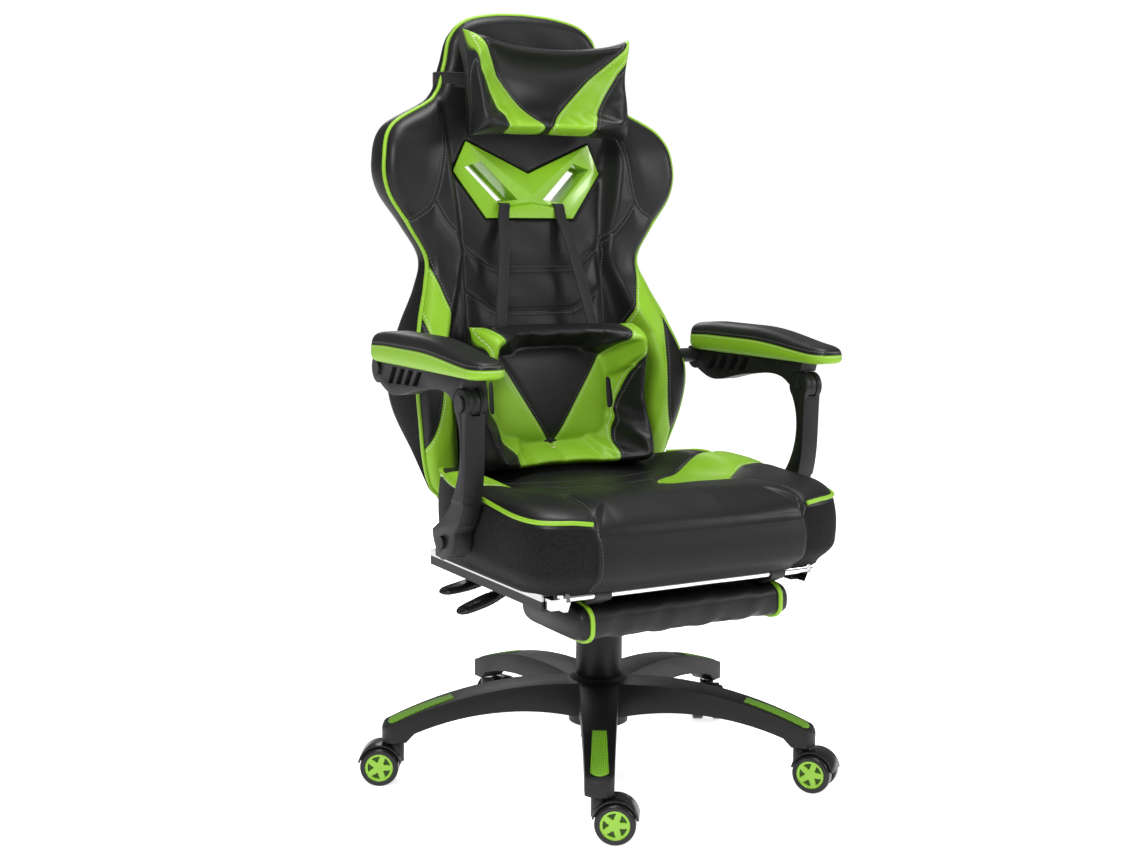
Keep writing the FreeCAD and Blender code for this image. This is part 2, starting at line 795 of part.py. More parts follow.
def vent_front_trim():
    plate = vent_plan(0, -vent_proud, vent_sink - vent_seat_gap)
    liners = vent_windows(vent_liner * 1.4, -vent_proud, vent_depth - vent_flange)
    trim = fused([plate] + liners)
    for hole in vent_windows(0.0, -vent_proud - 30, vent_depth + 30):
        trim = trim.cut(hole)
    return lean_with_floor(trim)


def vent_rear_trim():
    plate = vent_plan(0, vent_depth, vent_depth + vent_flange)
    for hole in vent_windows(0.0, 0, vent_depth + 30):
        plate = plate.cut(hole)
    return lean_with_floor(plate)


def frame_line(z):
    """Depth of the steel frame's centre line at a height."""
    return frame_foot_y + (z - frame_foot_z) * frame_lean


def backrest_frame():
    x0 = frame_x
    x1 = frame_x + frame_tube
    half = frame_tube / 2
    low = frame_foot_z
    outline = [(frame_line(low) - half, low), (frame_line(low) + half, low),
               (frame_line(frame_top) + half, frame_top), (frame_line(frame_top) - half, frame_top)]
    pieces = []
    plate_in = hinge_plate_x + hinge_plate_thick + hinge_side_gap
    plate_out = plate_in + hinge_plate_thick
    link = [(recline_y - hinge_boss * 0.9, recline_z + hinge_boss * 0.4),
            (recline_y + hinge_boss * 0.96, recline_z + hinge_boss * 0.3),
            (frame_line(low) + half, low + 24), (frame_line(low) + half, low + 90),
            (frame_line(low) - half, low + 90)]
    arm_plate_in = stud_plate_x
    arm_plate_out = stud_plate_x + stud_plate_thick
    for side in (-1, 1):
        pieces.append(side_plate(outline, side * x0, side * x1))
        pieces.append(side_plate(link, side * (plate_in), side * plate_out))
        boss = cross_cylinder(hinge_boss, side * plate_in, side * plate_out, recline_y, recline_z)
        pieces.append(boss)
        y_back = frame_line(rear_pivot_z)
        stub = box(side * (x1 - 1), side * arm_plate_out, y_back - 10, y_back + 10,
                   rear_pivot_z - 10, rear_pivot_z + 10)
        ear = box(side * arm_plate_in, side * arm_plate_out, rear_pivot_y - 7, y_back + 10,
                  rear_pivot_z - 10, rear_pivot_z + 10)
        pieces.extend([stub, ear])
    for z in frame_cross_z + (frame_top - half,):
        y = frame_line(z)
        pieces.append(box(-x0 - 1, x0 + 1, y - half, y + half, z - half, z + half))
    frame = fused(pieces)
    for side in (-1, 1):
        hole = cross_cylinder(recline_pin_radius + 0.4, side * (plate_in - 3), side * (plate_out + 3),
                              recline_y, recline_z)
        frame = frame.cut(hole)
    return frame


def arm_rear_pin():
    """Stud on the backrest frame that an arm turns on, with spacer and cap."""
    inner = stud_plate_x + stud_plate_thick
    face = arm_x - arm_width / 2
    outer = arm_x + arm_width / 2
    spacer = cross_cylinder(11.0, inner, face - 0.6, rear_pivot_y, rear_pivot_z)
    shank = cross_cylinder(arm_pin_radius, inner, outer + 1.0, rear_pivot_y, rear_pivot_z)
    cap = cross_cylinder(10.0, outer + 0.6, outer + 3.6, rear_pivot_y, rear_pivot_z)
    return fused([spacer, shank, cap])


def backrest_cushion():
    shape = back_blank().cut(bucket_recess())
    for hole in vent_windows(vent_liner * 1.4 + vent_fit, -60, vent_depth + 60):
        shape = shape.cut(lean_with_floor(hole))
    rear_pocket = vent_plan(vent_fit, vent_depth - vent_fit, vent_depth + 60)
    front_pocket = vent_plan(vent_fit, -60, vent_sink)
    shape = shape.cut(lean_with_floor(rear_pocket)).cut(lean_with_floor(front_pocket))
    shape = shape.cut(backrest_frame())
    for stud in both_sides(arm_rear_pin()).Solids:
        shape = shape.cut(stud)
    sweep = cross_cylinder(hinge_boss + 4.0, -hinge_plate_x - 30, hinge_plate_x + 30, recline_y, recline_z)
    return shape.cut(sweep)


def straps_compound():
    """Flat straps out of the vent, over its lower bar and straight to the pillow's top seam."""
    thin = strap_thickness
    bar_y = floor_y(strap_top_z) - vent_proud - strap_bar_gap
    end_y = floor_y(lumbar_top) - lumbar_back_gap - strap_end_depth
    end_z = lumbar_top + strap_gap
    inside_y = bar_y + strap_tail
    side_view = [(inside_y, strap_top_z + strap_loop), (bar_y - thin, strap_top_z + strap_loop), (end_y - thin, end_z),
                 (end_y, end_z), (bar_y, strap_top_z + strap_loop - thin), (inside_y, strap_top_z + strap_loop - thin)]
    half = strap_width / 2
    solids = []
    for side in (-1, 1):
        ribbon = side_plate(side_view, -200, 200)
        plan = [(side * (strap_top_x - half), strap_top_z + 4), (side * (strap_top_x + half), strap_top_z + 4),
                (side * (strap_end_x + half), end_z - 1), (side * (strap_end_x - half), end_z - 1)]
        solids.append(ribbon.common(front_prism(plan, 0, 400)))
    return Part.makeCompound(solids)


# --- pillows -----------------------------------------------------------------

def lumbar_pillow():
    lift = lumbar_back_gap
    back_low = floor_y(lumbar_bottom) - lift
    back_high = floor_y(lumbar_top) - lift
    depth = lumbar_depth
    outline = [(back_low, lumbar_bottom), (back_high, lumbar_top), (back_high - depth * 0.45, lumbar_top),
               (back_low - depth * 0.82, lumbar_top - 60), (back_low - depth, lumbar_bottom + 50),
               (back_low - depth * 0.62, lumbar_bottom)]
    body = side_plate(outline, -lumbar_half_width, lumbar_half_width)
    return round_edges(body, 7.0, lambda e: abs(e.tangentAt(e.FirstParameter).x) < 0.1)


def head_pillow():
    middle = (head_front + head_back) / 2
    outline = [(head_back, head_bottom + 8), (head_back, head_top - 6), (middle, head_top),
               (head_front + 8, head_top - 40), (head_front, (head_bottom + head_top) / 2 - 6),
               (head_front + 14, head_bottom + 14), (middle, head_bottom)]
    body = side_plate(outline, -head_half_width, head_half_width)
    return round_edges(body, 7.0, lambda e: abs(e.tangentAt(e.FirstParameter).x) < 0.1)


def head_band():
    z1 = band_z + band_height
    outer = box(-band_half - band_thickness, band_half + band_thickness, band_front - band_thickness,
                band_rear + band_thickness, band_z, z1)
    return outer.cut(box(-band_half, band_half, band_front, band_rear, band_z - 1, z1 + 1))


# --- armrests, modelled on the +X side ----------------------------------------

def arm_link():
    """Level arm from the rear pivot to the knuckle, slotted, with the pad's seat on top."""
    x0 = arm_x - arm_width / 2
    x1 = arm_x + arm_width / 2
    top = arm_pad_under
    lower = [Vector(x0, rear_pivot_y + 14, rear_pivot_z - 8), Vector(x0, rear_pivot_y - 14, top - 36),
             Vector(x0, rear_pivot_y - 46, top - 46), Vector(x0, rear_pivot_y - 102, top - 38),
             Vector(x0, knuckle_y + 91, top - 27), Vector(x0, knuckle_y + 37, top - 29),
             Vector(x0, knuckle_y + 14, knuckle_z - 6)]
    under = spline_through(lower)
    edges = [
        under,
        Part.makeLine(lower[-1], Vector(x0, knuckle_y - 2, knuckle_z + 14)),
        Part.makeLine(Vector(x0, knuckle_y - 2, knuckle_z + 14), Vector(x0, knuckle_y - 10, top)),
        Part.makeLine(Vector(x0, knuckle_y - 10, top), Vector(x0, rear_pivot_y + 14, top)),
        Part.makeLine(Vector(x0, rear_pivot_y + 14, top), lower[0]),
    ]
    body = Part.Face(Part.Wire(edges)).extrude(Vector(x1 - x0, 0, 0))
    rear = cross_cylinder(rear_boss, x0, x1, rear_pivot_y, rear_pivot_z)
    rear_cut = rear.common(box(0, 400, -400, 400, 0, top))
    tongue = cross_cylinder(knuckle_radius - 1.0, arm_x - tongue_width / 2, arm_x + tongue_width / 2,
                            knuckle_y, knuckle_z)
    room_radius = knuckle_radius + 1.2
    cheek_in = tongue_width / 2
    clear_low = cross_cylinder(room_radius, x0 - 2, arm_x - cheek_in, knuckle_y, knuckle_z)
    clear_high = cross_cylinder(room_radius, arm_x + cheek_in, x1 + 2, knuckle_y, knuckle_z)
    link = fused([body, rear_cut, tongue]).cut(clear_low).cut(clear_high)
    for number in range(slot_count):
        y = slot_rear_y - number * slot_pitch
        slant = slot_slant
        slot = side_plate([(y, slot_low + number * 1.2), (y + slot_width, slot_low + number * 1.2),
                           (y + slot_width - slant, slot_high), (y - slant, slot_high)], x0 - 5, x1 + 5)
        link = link.cut(slot)
    pin_hole = cross_cylinder(arm_pin_radius + arm_pin_play, x0 - 5, x1 + 5, rear_pivot_y, rear_pivot_z)
    knuckle_hole = cross_cylinder(arm_pin_radius, x0 - 5, x1 + 5, knuckle_y, knuckle_z)
    return link.cut(pin_hole).cut(knuckle_hole)


def arm_pad():
    x0 = arm_x - arm_pad_width / 2
    under = arm_pad_under
    crown = arm_pad_crown
    top = spline_through([Vector(x0, arm_pad_rear, under + 18), Vector(x0, arm_pad_rear - 45, crown - 8),
                          Vector(x0, 0, crown), Vector(x0, arm_pad_front + 70, crown - 5),
                          Vector(x0, arm_pad_front, arm_pad_nose - 8)])
    edges = [
        top,
        Part.makeLine(Vector(x0, arm_pad_front, arm_pad_nose - 8), Vector(x0, arm_pad_front, under - 4)),
        Part.makeLine(Vector(x0, arm_pad_front, under - 4), Vector(x0, arm_pad_front + 30, under)),
        Part.makeLine(Vector(x0, arm_pad_front + 30, under), Vector(x0, arm_pad_rear, under)),
        Part.makeLine(Vector(x0, arm_pad_rear, under), Vector(x0, arm_pad_rear, under + 18)),
    ]
    body = Part.Face(Part.Wire(edges)).extrude(Vector(arm_pad_width, 0, 0))
    half = arm_pad_width / 2
    corner = half * 0.8
    plan_edges = [
        Part.makeLine(Vector(x0, arm_pad_rear - corner, 500), Vector(x0, arm_pad_front + corner, 500)),
        Part.Arc(Vector(x0, arm_pad_front + corner, 500), Vector(arm_x, arm_pad_front, 500),
                 Vector(x0 + arm_pad_width, arm_pad_front + corner, 500)).toShape(),
        Part.makeLine(Vector(x0 + arm_pad_width, arm_pad_front + corner, 500),
                      Vector(x0 + arm_pad_width, arm_pad_rear - corner, 500)),
        Part.Arc(Vector(x0 + arm_pad_width, arm_pad_rear - corner, 500), Vector(arm_x, arm_pad_rear, 500),
                 Vector(x0, arm_pad_rear - corner, 500)).toShape(),
    ]
    plan = Part.Face(Part.Wire(plan_edges)).extrude(Vector(0, 0, 300))
    return body.common(plan)


def arm_upright():
    """Waisted strut from the knuckle down to the flared foot."""
    x0 = arm_x - arm_width / 2
    x1 = arm_x + arm_width / 2
    front = [Vector(x0, knuckle_y - 16, knuckle_z - 10), Vector(x0, knuckle_y - 14, knuckle_z - 60),
             Vector(x0, knuckle_y - 8, knuckle_z - 118), Vector(x0, foot_y - 36, foot_z + 18)]
    rear = [Vector(x0, foot_y + 30, foot_z + 14), Vector(x0, foot_y + 4, foot_z + 30),
            Vector(x0, foot_y - 26, foot_z + 56), Vector(x0, knuckle_y + 5, knuckle_z - 84),
            Vector(x0, knuckle_y + 2, knuckle_z - 50), Vector(x0, knuckle_y + 14, knuckle_z - 14)]
    edges = [
        spline_through(front),
        Part.Arc(front[-1], Vector(x0, foot_y - 4, foot_z - 19), rear[0]).toShape(),
        spline_through(rear),
        Part.makeLine(rear[-1], front[0]),
    ]
    strut = Part.Face(Part.Wire(edges)).extrude(Vector(x1 - x0, 0, 0))
    drum = cross_cylinder(knuckle_radius, x0, x1, knuckle_y, knuckle_z)
    foot = cross_cylinder(foot_radius, x0, x1, foot_y, foot_z)
    solid = fused([strut, drum, foot])
    tongue_room = cross_cylinder(knuckle_radius + 1.0, arm_x - tongue_width / 2 - tongue_gap,
                                 arm_x + tongue_width / 2 + tongue_gap, knuckle_y, knuckle_z)
    solid = solid.cut(tongue_room)
    trim = box(x1 - 2.0, x1 + 5, -400, 400, 300, foot_z + 60)
    solid = solid.cut(trim)
    hole = cross_cylinder(arm_pin_radius + 1.0 + arm_pin_play, x0 - 5, x1 + 5, foot_y, foot_z)
    pin_hole = cross_cylinder(arm_pin_radius + arm_pin_play, x0 - 5, x1 + 5, knuckle_y, knuckle_z)
    return solid.cut(hole).cut(pin_hole)


def knuckle_pin():
    x0 = arm_x - arm_width / 2 - 0.5
    x1 = arm_x + arm_width / 2 + 0.6
    pin = cross_cylinder(arm_pin_radius, x0, x1, knuckle_y, knuckle_z)
    head = cross_cylinder(11.0, x1, x1 + 2.6, knuckle_y, knuckle_z)
    return fused([pin, head])


def export_pair(shape, name):
    export(mirrored(shape), name + "_right")
    export(shape, name + "_left")


def main():
    os.makedirs("parts", exist_ok=True)
    export(star_base(), "star_base")
    export(leg_inserts(), "leg_grip_inserts")
    export(caster_stems(), "caster_stems")
    hood = hood_solid()
    for number in range(leg_count):
        label = str(number + 1)
        export(place_caster(hood, number), "caster_hood_" + label)
        export(place_caster(wheel_solid(1), number), "caster_wheel_" + label + "a")
        export(place_caster(wheel_solid(-1), number), "caster_wheel_" + label + "b")
    export(column_tube(), "column_outer_tube")
    export(guide_bush(), "column_guide_bush")
    export(piston_rod(), "piston_rod")
    export(column_cover(), "column_cover_lower")
    export(gas_cylinder(), "gas_cylinder")
    export(upper_cover(), "column_cover_upper")
    export(valve_pin(), "valve_pin")
    export(mechanism_housing(), "mechanism_housing")
    export(lever_pins(), "lever_pivot_blocks")
    for index, name in enumerate(("height_lever", "recline_lever")):
        export(lever_rod(index), name + "_rod")
        export(lever_paddle(index), name + "_paddle")
    export(seat_board(), "seat_board")
    export(seat_cushion(), "seat_cushion")
    export(both_sides(foot_bracket()), "arm_foot_brackets")
    export(both_sides(foot_bolt()), "arm_foot_bolts")
    export(both_sides(hinge_plates()), "recline_hinge_plates")
    export(both_sides(recline_pins()), "recline_hinge_pins")
    export(both_sides(footrest_rail()), "footrest_rails")
    export(footrest_frame(), "footrest_frame")
    export(footrest_caps(), "footrest_end_caps")
    export(footrest_pad(), "footrest_pad")
    export(pad_hinges(), "footrest_pad_hinges")
    export(backrest_frame(), "backrest_frame")
    export(backrest_cushion(), "backrest_cushion")
    export(vent_front_trim(), "vent_trim_front")
    export(vent_rear_trim(), "vent_trim_rear")
    export(straps_compound(), "lumbar_straps")
    export(both_sides(arm_rear_pin()), "arm_rear_studs")
    export(lumbar_pillow(), "lumbar_pillow")
    export(head_pillow(), "head_pillow")
    export(head_band(), "head_pillow_band")
    export_pair(arm_link(), "arm_link")
    export_pair(arm_pad(), "arm_pad")
    export_pair(arm_upright(), "arm_upright")
    export_pair(knuckle_pin(), "arm_knuckle_pin")


main()
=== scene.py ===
import json
import math
import bpy
import numpy as np
from mathutils import Matrix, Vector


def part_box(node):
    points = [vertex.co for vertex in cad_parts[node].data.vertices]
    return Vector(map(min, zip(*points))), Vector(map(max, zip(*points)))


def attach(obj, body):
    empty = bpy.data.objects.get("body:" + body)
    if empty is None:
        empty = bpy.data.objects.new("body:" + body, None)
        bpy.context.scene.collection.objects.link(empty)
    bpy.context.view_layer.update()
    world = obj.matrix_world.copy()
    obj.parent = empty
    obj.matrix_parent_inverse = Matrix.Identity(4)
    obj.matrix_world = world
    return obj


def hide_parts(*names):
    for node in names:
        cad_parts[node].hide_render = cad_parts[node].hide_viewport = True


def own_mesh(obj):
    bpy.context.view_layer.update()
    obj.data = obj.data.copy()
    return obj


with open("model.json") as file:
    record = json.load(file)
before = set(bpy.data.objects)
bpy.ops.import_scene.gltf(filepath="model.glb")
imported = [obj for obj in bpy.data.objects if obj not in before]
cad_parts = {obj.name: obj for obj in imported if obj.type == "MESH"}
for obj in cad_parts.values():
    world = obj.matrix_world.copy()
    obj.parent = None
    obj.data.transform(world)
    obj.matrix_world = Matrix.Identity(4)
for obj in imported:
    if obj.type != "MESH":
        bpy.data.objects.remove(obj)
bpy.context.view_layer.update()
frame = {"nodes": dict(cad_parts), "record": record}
record = frame["record"]
joints = {joint["name"]: joint for joint in record["behaviour"]["joints"]}
print("frame loaded,", len(frame["nodes"]), "nodes")


class Wire:
    def __init__(self, paint, socket):
        self.paint = paint
        self.socket = socket

    def __add__(self, other):
        return self.paint.maths("ADD", self, other)

    __radd__ = __add__

    def __mul__(self, other):
        return self.paint.maths("MULTIPLY", self, other)

    __rmul__ = __mul__

    def __sub__(self, other):
        return self.paint.maths("SUBTRACT", self, other)

    def __rsub__(self, other):
        return self.paint.maths("SUBTRACT", other, self)

    def __truediv__(self, other):
        return self.paint.maths("DIVIDE", self, other)

    def __abs__(self):
        return self.paint.maths("ABSOLUTE", self)


class Paint:
    def __init__(self, name):
        self.material = bpy.data.materials.new(name)
        self.material.use_nodes = True
        self.tree = self.material.node_tree
        self.tree.nodes.clear()

    def node(self, kind, settings=None, sockets=None, out=0):
        # settings first, then the values or links of the sockets
        made = self.tree.nodes.new("ShaderNode" + kind)
        for key, value in (settings or {}).items():
            if key == "stops":
                ramp = made.color_ramp
                ramp.elements[0].position, ramp.elements[0].color = value[0]
                ramp.elements[1].position, ramp.elements[1].color = value[-1]
                for place, colour in value[1:-1]:
                    ramp.elements.new(place).color = colour
            else:
                setattr(made, key, value)
        for key, value in (sockets or {}).items():
            target = made.inputs[key]
            if isinstance(value, Wire):
                self.tree.links.new(value.socket, target)
            else:
                target.default_value = value
        return Wire(self, made.outputs[out]) if len(made.outputs) else None

    def maths(self, operation, first, second=0.0, clamp=False):
        return self.node("Math", {"operation": operation, "use_clamp": clamp}, {0: first, 1: second})

    def clamped(self, value):
        return self.maths("ADD", value, 0.0, clamp=True)

    def mixed(self, mask, low, high):
        return self.node("Mix", {"data_type": "RGBA"}, {0: mask, 6: low, 7: high}, out=2)

    def place(self):
        return self.node("TexCoord", out="Object")

    def field(self, name):
        return self.node("Attribute", {"attribute_name": name}, out="Fac")

    def noise(self, size, detail=3.0, rough=0.5, where=None):
        return self.node("TexNoise", {}, {"Vector": where or self.place(), "Scale": 1.0 / size,
                                          "Detail": detail, "Roughness": rough}, out="Fac")

    def cells(self, size, feature="F1", where=None):
        return self.node("TexVoronoi", {"feature": feature}, {"Vector": where or self.place(), "Scale": 1.0 / size},
                         out="Distance")

    def bump(self, height, depth, strength=1.0, after=None):
        sockets = {"Height": height, "Distance": depth, "Strength": strength}
        if after is not None:
            sockets["Normal"] = after
        return self.node("Bump", {}, sockets)

    def finish(self, colour, roughness, normal=None, metallic=0.0, **fixed):
        sockets = {"Base Color": colour, "Roughness": roughness, "Metallic": metallic}
        if normal is not None:
            sockets["Normal"] = normal
        sockets.update({key.replace("_", " "): value for key, value in fixed.items()})
        shader = self.node("BsdfPrincipled", {}, sockets)
        self.node("OutputMaterial", {}, {"Surface": shader})
        return self.material


colours = {
    "black": (0.0052, 0.0053, 0.0058, 1),
    "lime": (0.215, 0.405, 0.022, 1),
    "limePlastic": (0.225, 0.44, 0.022, 1),
    "nylon": (0.0060, 0.0060, 0.0064, 1),
    "thread": (0.10, 0.11, 0.10, 1),
}


def leatherFinish(name, stitched=False, meshed=False, tint="black"):
    paint = Paint(name)
    broad = paint.noise(0.09, 2.0)
    fine = paint.noise(0.012, 3.0)
    grain = paint.cells(0.0017, "SMOOTH_F1")
    pores = paint.noise(0.0009, 2.0)
    height = grain * 0.7 + pores * 0.35 + fine * 0.5
    colour = colours[tint]
    lime = colours["lime"]
    if stitched:
        green = paint.clamped(paint.field("green") * 1400.0 + 0.5)
        colour = paint.mixed(green, colours[tint], lime)
        shade = paint.clamped(broad * 0.5 + 0.55)
        worn = paint.mixed(green, (0.02, 0.02, 0.021, 1), (0.235, 0.43, 0.028, 1))
        colour = paint.mixed(shade * 0.35, colour, worn)
        seam = paint.maths("MINIMUM", paint.field("seam"), abs(paint.field("green")))
        side = abs(seam - 0.0034)
        along = paint.maths("FRACT", paint.field("along") / 0.0046)
        onLine = 1.0 - paint.clamped((side - 0.0002) * 1800.0)
        dash = paint.clamped(paint.maths("LESS_THAN", along, 0.66) * onLine)
        height = height + dash * 2.6
        colour = paint.mixed(dash * 0.8, colour, paint.mixed(green, colours["thread"], (0.55, 0.62, 0.42, 1)))
        # painted shade: the creases along the seams darkened towards black
        seamCreaseShade = paint.clamped(1.0 - seam * 1100.0)
        colour = paint.mixed(seamCreaseShade * 0.75, colour, (0.003, 0.003, 0.003, 1))
    else:
        colour = paint.mixed(paint.clamped(broad * 0.5), colour, (0.02, 0.02, 0.021, 1))
    rough = 0.36 + broad * 0.12 + pores * 0.06
    if meshed:
        cloth = paint.clamped(paint.field("cloth") * 900.0 + 0.5)
        weave = paint.cells(0.0030)
        colour = paint.mixed(cloth, colour, paint.mixed(paint.clamped(weave * 1.2), (0.012, 0.012, 0.012, 1),
                                                         (0.003, 0.003, 0.003, 1)))
        rough = rough + cloth * 0.5
        height = height + cloth * weave * 3.0
    normal = paint.bump(height, 0.00022, 0.55)
    return paint.finish(colour, rough, normal, Specular_IOR_Level=0.34, Coat_Weight=0.03, Coat_Roughness=0.35)


def pipingFinish(name, tint="lime"):
    paint = Paint(name)
    grain = paint.noise(0.0011, 2.0)
    colour = paint.mixed(paint.clamped(paint.noise(0.03)), colours[tint], (0.235, 0.43, 0.025, 1))
    return paint.finish(colour, 0.38 + grain * 0.1, paint.bump(grain, 0.00015, 0.5))


def nylonFinish(name, colour=None, gloss=0.42, texture=0.5):
    paint = Paint(name)
    speckle = paint.cells(0.0011)
    cloud = paint.noise(0.05, 3.0)
    base = colour or colours["nylon"]
    lighter = tuple(min(1.0, channel * 1.5 + 0.003) for channel in base[:3]) + (1,)
    return paint.finish(paint.mixed(paint.clamped(cloud * 0.6), base, lighter), gloss + cloud * 0.1,
                        paint.bump(speckle, 0.0002, texture), Specular_IOR_Level=0.36)


def greenPlasticFinish(name):
    paint = Paint(name)
    cloud = paint.noise(0.06, 2.0)
    orange = paint.noise(0.004, 2.0)
    colour = paint.mixed(paint.clamped(cloud * 0.5), colours["limePlastic"], (0.235, 0.44, 0.028, 1))
    return paint.finish(colour, 0.24 + cloud * 0.1, paint.bump(orange, 0.0002, 0.25), Coat_Weight=0.35,
                        Coat_Roughness=0.12)


def gripFinish(name):
    paint = Paint(name)
    where = paint.node("Mapping", {}, {"Vector": paint.place(), "Rotation": (0, 0, 0.6)})
    waveA = paint.node("TexWave", {"bands_direction": "X"}, {"Vector": where, "Scale": 110.0}, out="Fac")
    waveB = paint.node("TexWave", {"bands_direction": "Y"}, {"Vector": where, "Scale": 110.0}, out="Fac")
    knurl = waveA * waveB
    return paint.finish(paint.mixed(knurl, (0.12, 0.31, 0.01, 1), (0.3, 0.56, 0.04, 1)), 0.5 - knurl * 0.15,
                        paint.bump(knurl, 0.0006, 0.9))


def metalFinish(name, colour, rough, coat=0.0, metallic=1.0):
    paint = Paint(name)
    streak = paint.node("Mapping", {}, {"Vector": paint.place(), "Scale": (1, 14, 14)})
    brushed = paint.noise(0.03, 4.0, 0.6, streak)
    darker = tuple(channel * 0.8 for channel in colour[:3]) + (1,)
    return paint.finish(paint.mixed(brushed, colour, darker), rough + brushed * 0.12,
                        paint.bump(brushed, 0.0001, 0.25), metallic=metallic, Coat_Weight=coat)


def railFinish(name):
    # rolled steel channel, its lower half painted black as painted shade
    paint = Paint(name)
    height = paint.node("SeparateXYZ", {}, {"Vector": paint.place()}, out="Z")
    streak = paint.node("Mapping", {}, {"Vector": paint.place(), "Scale": (14, 1, 14)})
    brushed = paint.noise(0.03, 4.0, 0.6, streak)
    aboveShadeLine = paint.clamped((height - railShadeLine) * 3000.0)
    steel = paint.mixed(brushed, (0.62, 0.62, 0.63, 1), (0.5, 0.5, 0.51, 1))
    # painted shade: black below the shade line, steel above it
    colour = paint.mixed(aboveShadeLine, (0.006, 0.006, 0.0065, 1), steel)
    rough = 0.45 - aboveShadeLine * 0.17 + brushed * 0.1
    return paint.finish(colour, rough, paint.bump(brushed, 0.0001, 0.25), metallic=aboveShadeLine)


def powderFinish(name):
    paint = Paint(name)
    peel = paint.noise(0.0022, 3.0)
    worn = paint.clamped(paint.noise(0.04, 5.0) * 4.0 - 2.6)
    return paint.finish(paint.mixed(worn * 0.4, (0.011, 0.011, 0.012, 1), (0.035, 0.035, 0.037, 1)), 0.42 + peel * 0.15,
                        paint.bump(peel, 0.0002, 0.5))


def webbingFinish(name):
    paint = Paint(name)
    where = paint.node("Mapping", {}, {"Vector": paint.place(), "Rotation": (0, 0.785, 0)})
    rib = paint.node("TexWave", {"bands_direction": "Z"}, {"Vector": where, "Scale": 210.0}, out="Fac")
    cross = paint.node("TexWave", {"bands_direction": "X"}, {"Vector": where, "Scale": 210.0}, out="Fac")
    weave = rib * cross
    return paint.finish(paint.mixed(weave, (0.004, 0.004, 0.004, 1), (0.018, 0.018, 0.018, 1)), 0.78,
                        paint.bump(weave, 0.0005, 0.8), Sheen_Weight=0.2)


def woodFinish(name):
    paint = Paint(name)
    where = paint.node("Mapping", {}, {"Vector": paint.place(), "Scale": (2, 18, 18)})
    ring = paint.noise(0.12, 5.0, 0.6, where)
    return paint.finish(paint.mixed(ring, (0.02, 0.018, 0.016, 1), (0.035, 0.03, 0.026, 1)), 0.8,
                        paint.bump(ring, 0.0004, 0.4))


def hubFinish(name):
    # green cap with dark pockets, told apart by a cap attribute that it reads
    paint = Paint(name)
    cap = paint.clamped(paint.field("cap"))
    speckle = paint.noise(0.0015, 2.0)
    colour = paint.mixed(cap, (0.006, 0.006, 0.006, 1), colours["limePlastic"])
    return paint.finish(colour, 0.42 - cap * 0.1 + speckle * 0.05, paint.bump(speckle, 0.0001, 0.4))


railShadeLine = float(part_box("footrest_rails")[0][2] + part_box("footrest_rails")[1][2]) / 2 + 0.0015
finishes = {
    "rail": railFinish("railSteel"),
    "panels": leatherFinish("panelLeather", stitched=True, meshed=True),
    "plain": leatherFinish("plainLeather"),
    "piping": pipingFinish("limePiping"),
    "nylon_black": nylonFinish("blackNylon"),
    "glossNylon": nylonFinish("glossNylon", (0.01, 0.01, 0.0105, 1), 0.2, 0.12),
    "green_plastic": greenPlasticFinish("limePlastic"),
    "grip": gripFinish("limeGrip"),
    "zinc_steel": metalFinish("zincSteel", (0.6, 0.6, 0.6, 1), 0.28),
    "chrome_bar": metalFinish("brightChrome", (0.8, 0.8, 0.82, 1), 0.06),
    "black_steel": powderFinish("blackPowder"),
    "plywood": woodFinish("dustCloth"),
    "black_webbing": webbingFinish("blackWebbing"),
    "caster_tread": hubFinish("casterWheel"),
    "black_leather": leatherFinish("sideLeather"),
}
print("finishes made")


def smoothLine(points, steps=12):
    # Catmull-Rom through the points
    table = np.array(points, float)
    padded = np.vstack([2 * table[0] - table[1], table, 2 * table[-1] - table[-2]])
    line = []
    for index in range(1, len(padded) - 2):
        a, b, c, d = padded[index - 1:index + 3]
        for step in range(steps):
            t = step / steps
            line.append(0.5 * (2 * b + (c - a) * t + (2 * a - 5 * b + 4 * c - d) * t * t
                               + (3 * b - a - 3 * c + d) * t ** 3))
    line.append(table[-1])
    return np.array(line)


def evenly(line, count):
    # the same line with points at equal distances
    gaps = np.linalg.norm(np.diff(line, axis=0), axis=1)
    reach = np.concatenate([[0], np.cumsum(gaps)])
    where = np.linspace(0, reach[-1], count)
    return np.stack([np.interp(where, reach, line[:, axis]) for axis in range(line.shape[1])], axis=1)


def ease(value):
    value = np.clip(value, 0, 1)
    return value * value * (3 - 2 * value)


def lineDistance(points, line):
    # distance from each 2-D point to a polyline, and the place along it
    best = np.full(len(points), 9.0)
    along = np.zeros(len(points))
    run = 0.0
    for start, end in zip(line[:-1], line[1:]):
        step = end - start
        length = np.linalg.norm(step) + 1e-9
        t = np.clip(((points - start) @ step) / length ** 2, 0, 1)
        gap = points - start - t[:, None] * step
        distance = np.linalg.norm(gap, axis=1)
        nearer = distance < best
        best = np.where(nearer, distance, best)
        along = np.where(nearer, run + t * length, along)
        run += length
    return best, along


def seamTable(points, seams):
    # nearest of several seams: distance and the place along it
    best = np.full(len(points), 9.0)
    along = np.zeros(len(points))
    for line in seams:
        distance, place = lineDistance(points, line)
        nearer = distance < best
        along = np.where(nearer, place, along)
        best = np.where(nearer, distance, best)
    return best, along


def insideDistance(points, outline):
    # signed distance to a closed outline, positive inside
    closed = np.vstack([outline, outline[:1]])
    best, _ = lineDistance(points, closed)
    inside = np.zeros(len(points), bool)
    for start, end in zip(closed[:-1], closed[1:]):
        crosses = (start[1] > points[:, 1]) != (end[1] > points[:, 1])
        slope = (end[0] - start[0]) / (end[1] - start[1] + 1e-12)
        inside ^= crosses & (points[:, 0] < start[0] + slope * (points[:, 1] - start[1]))
    return np.where(inside, best, -best)


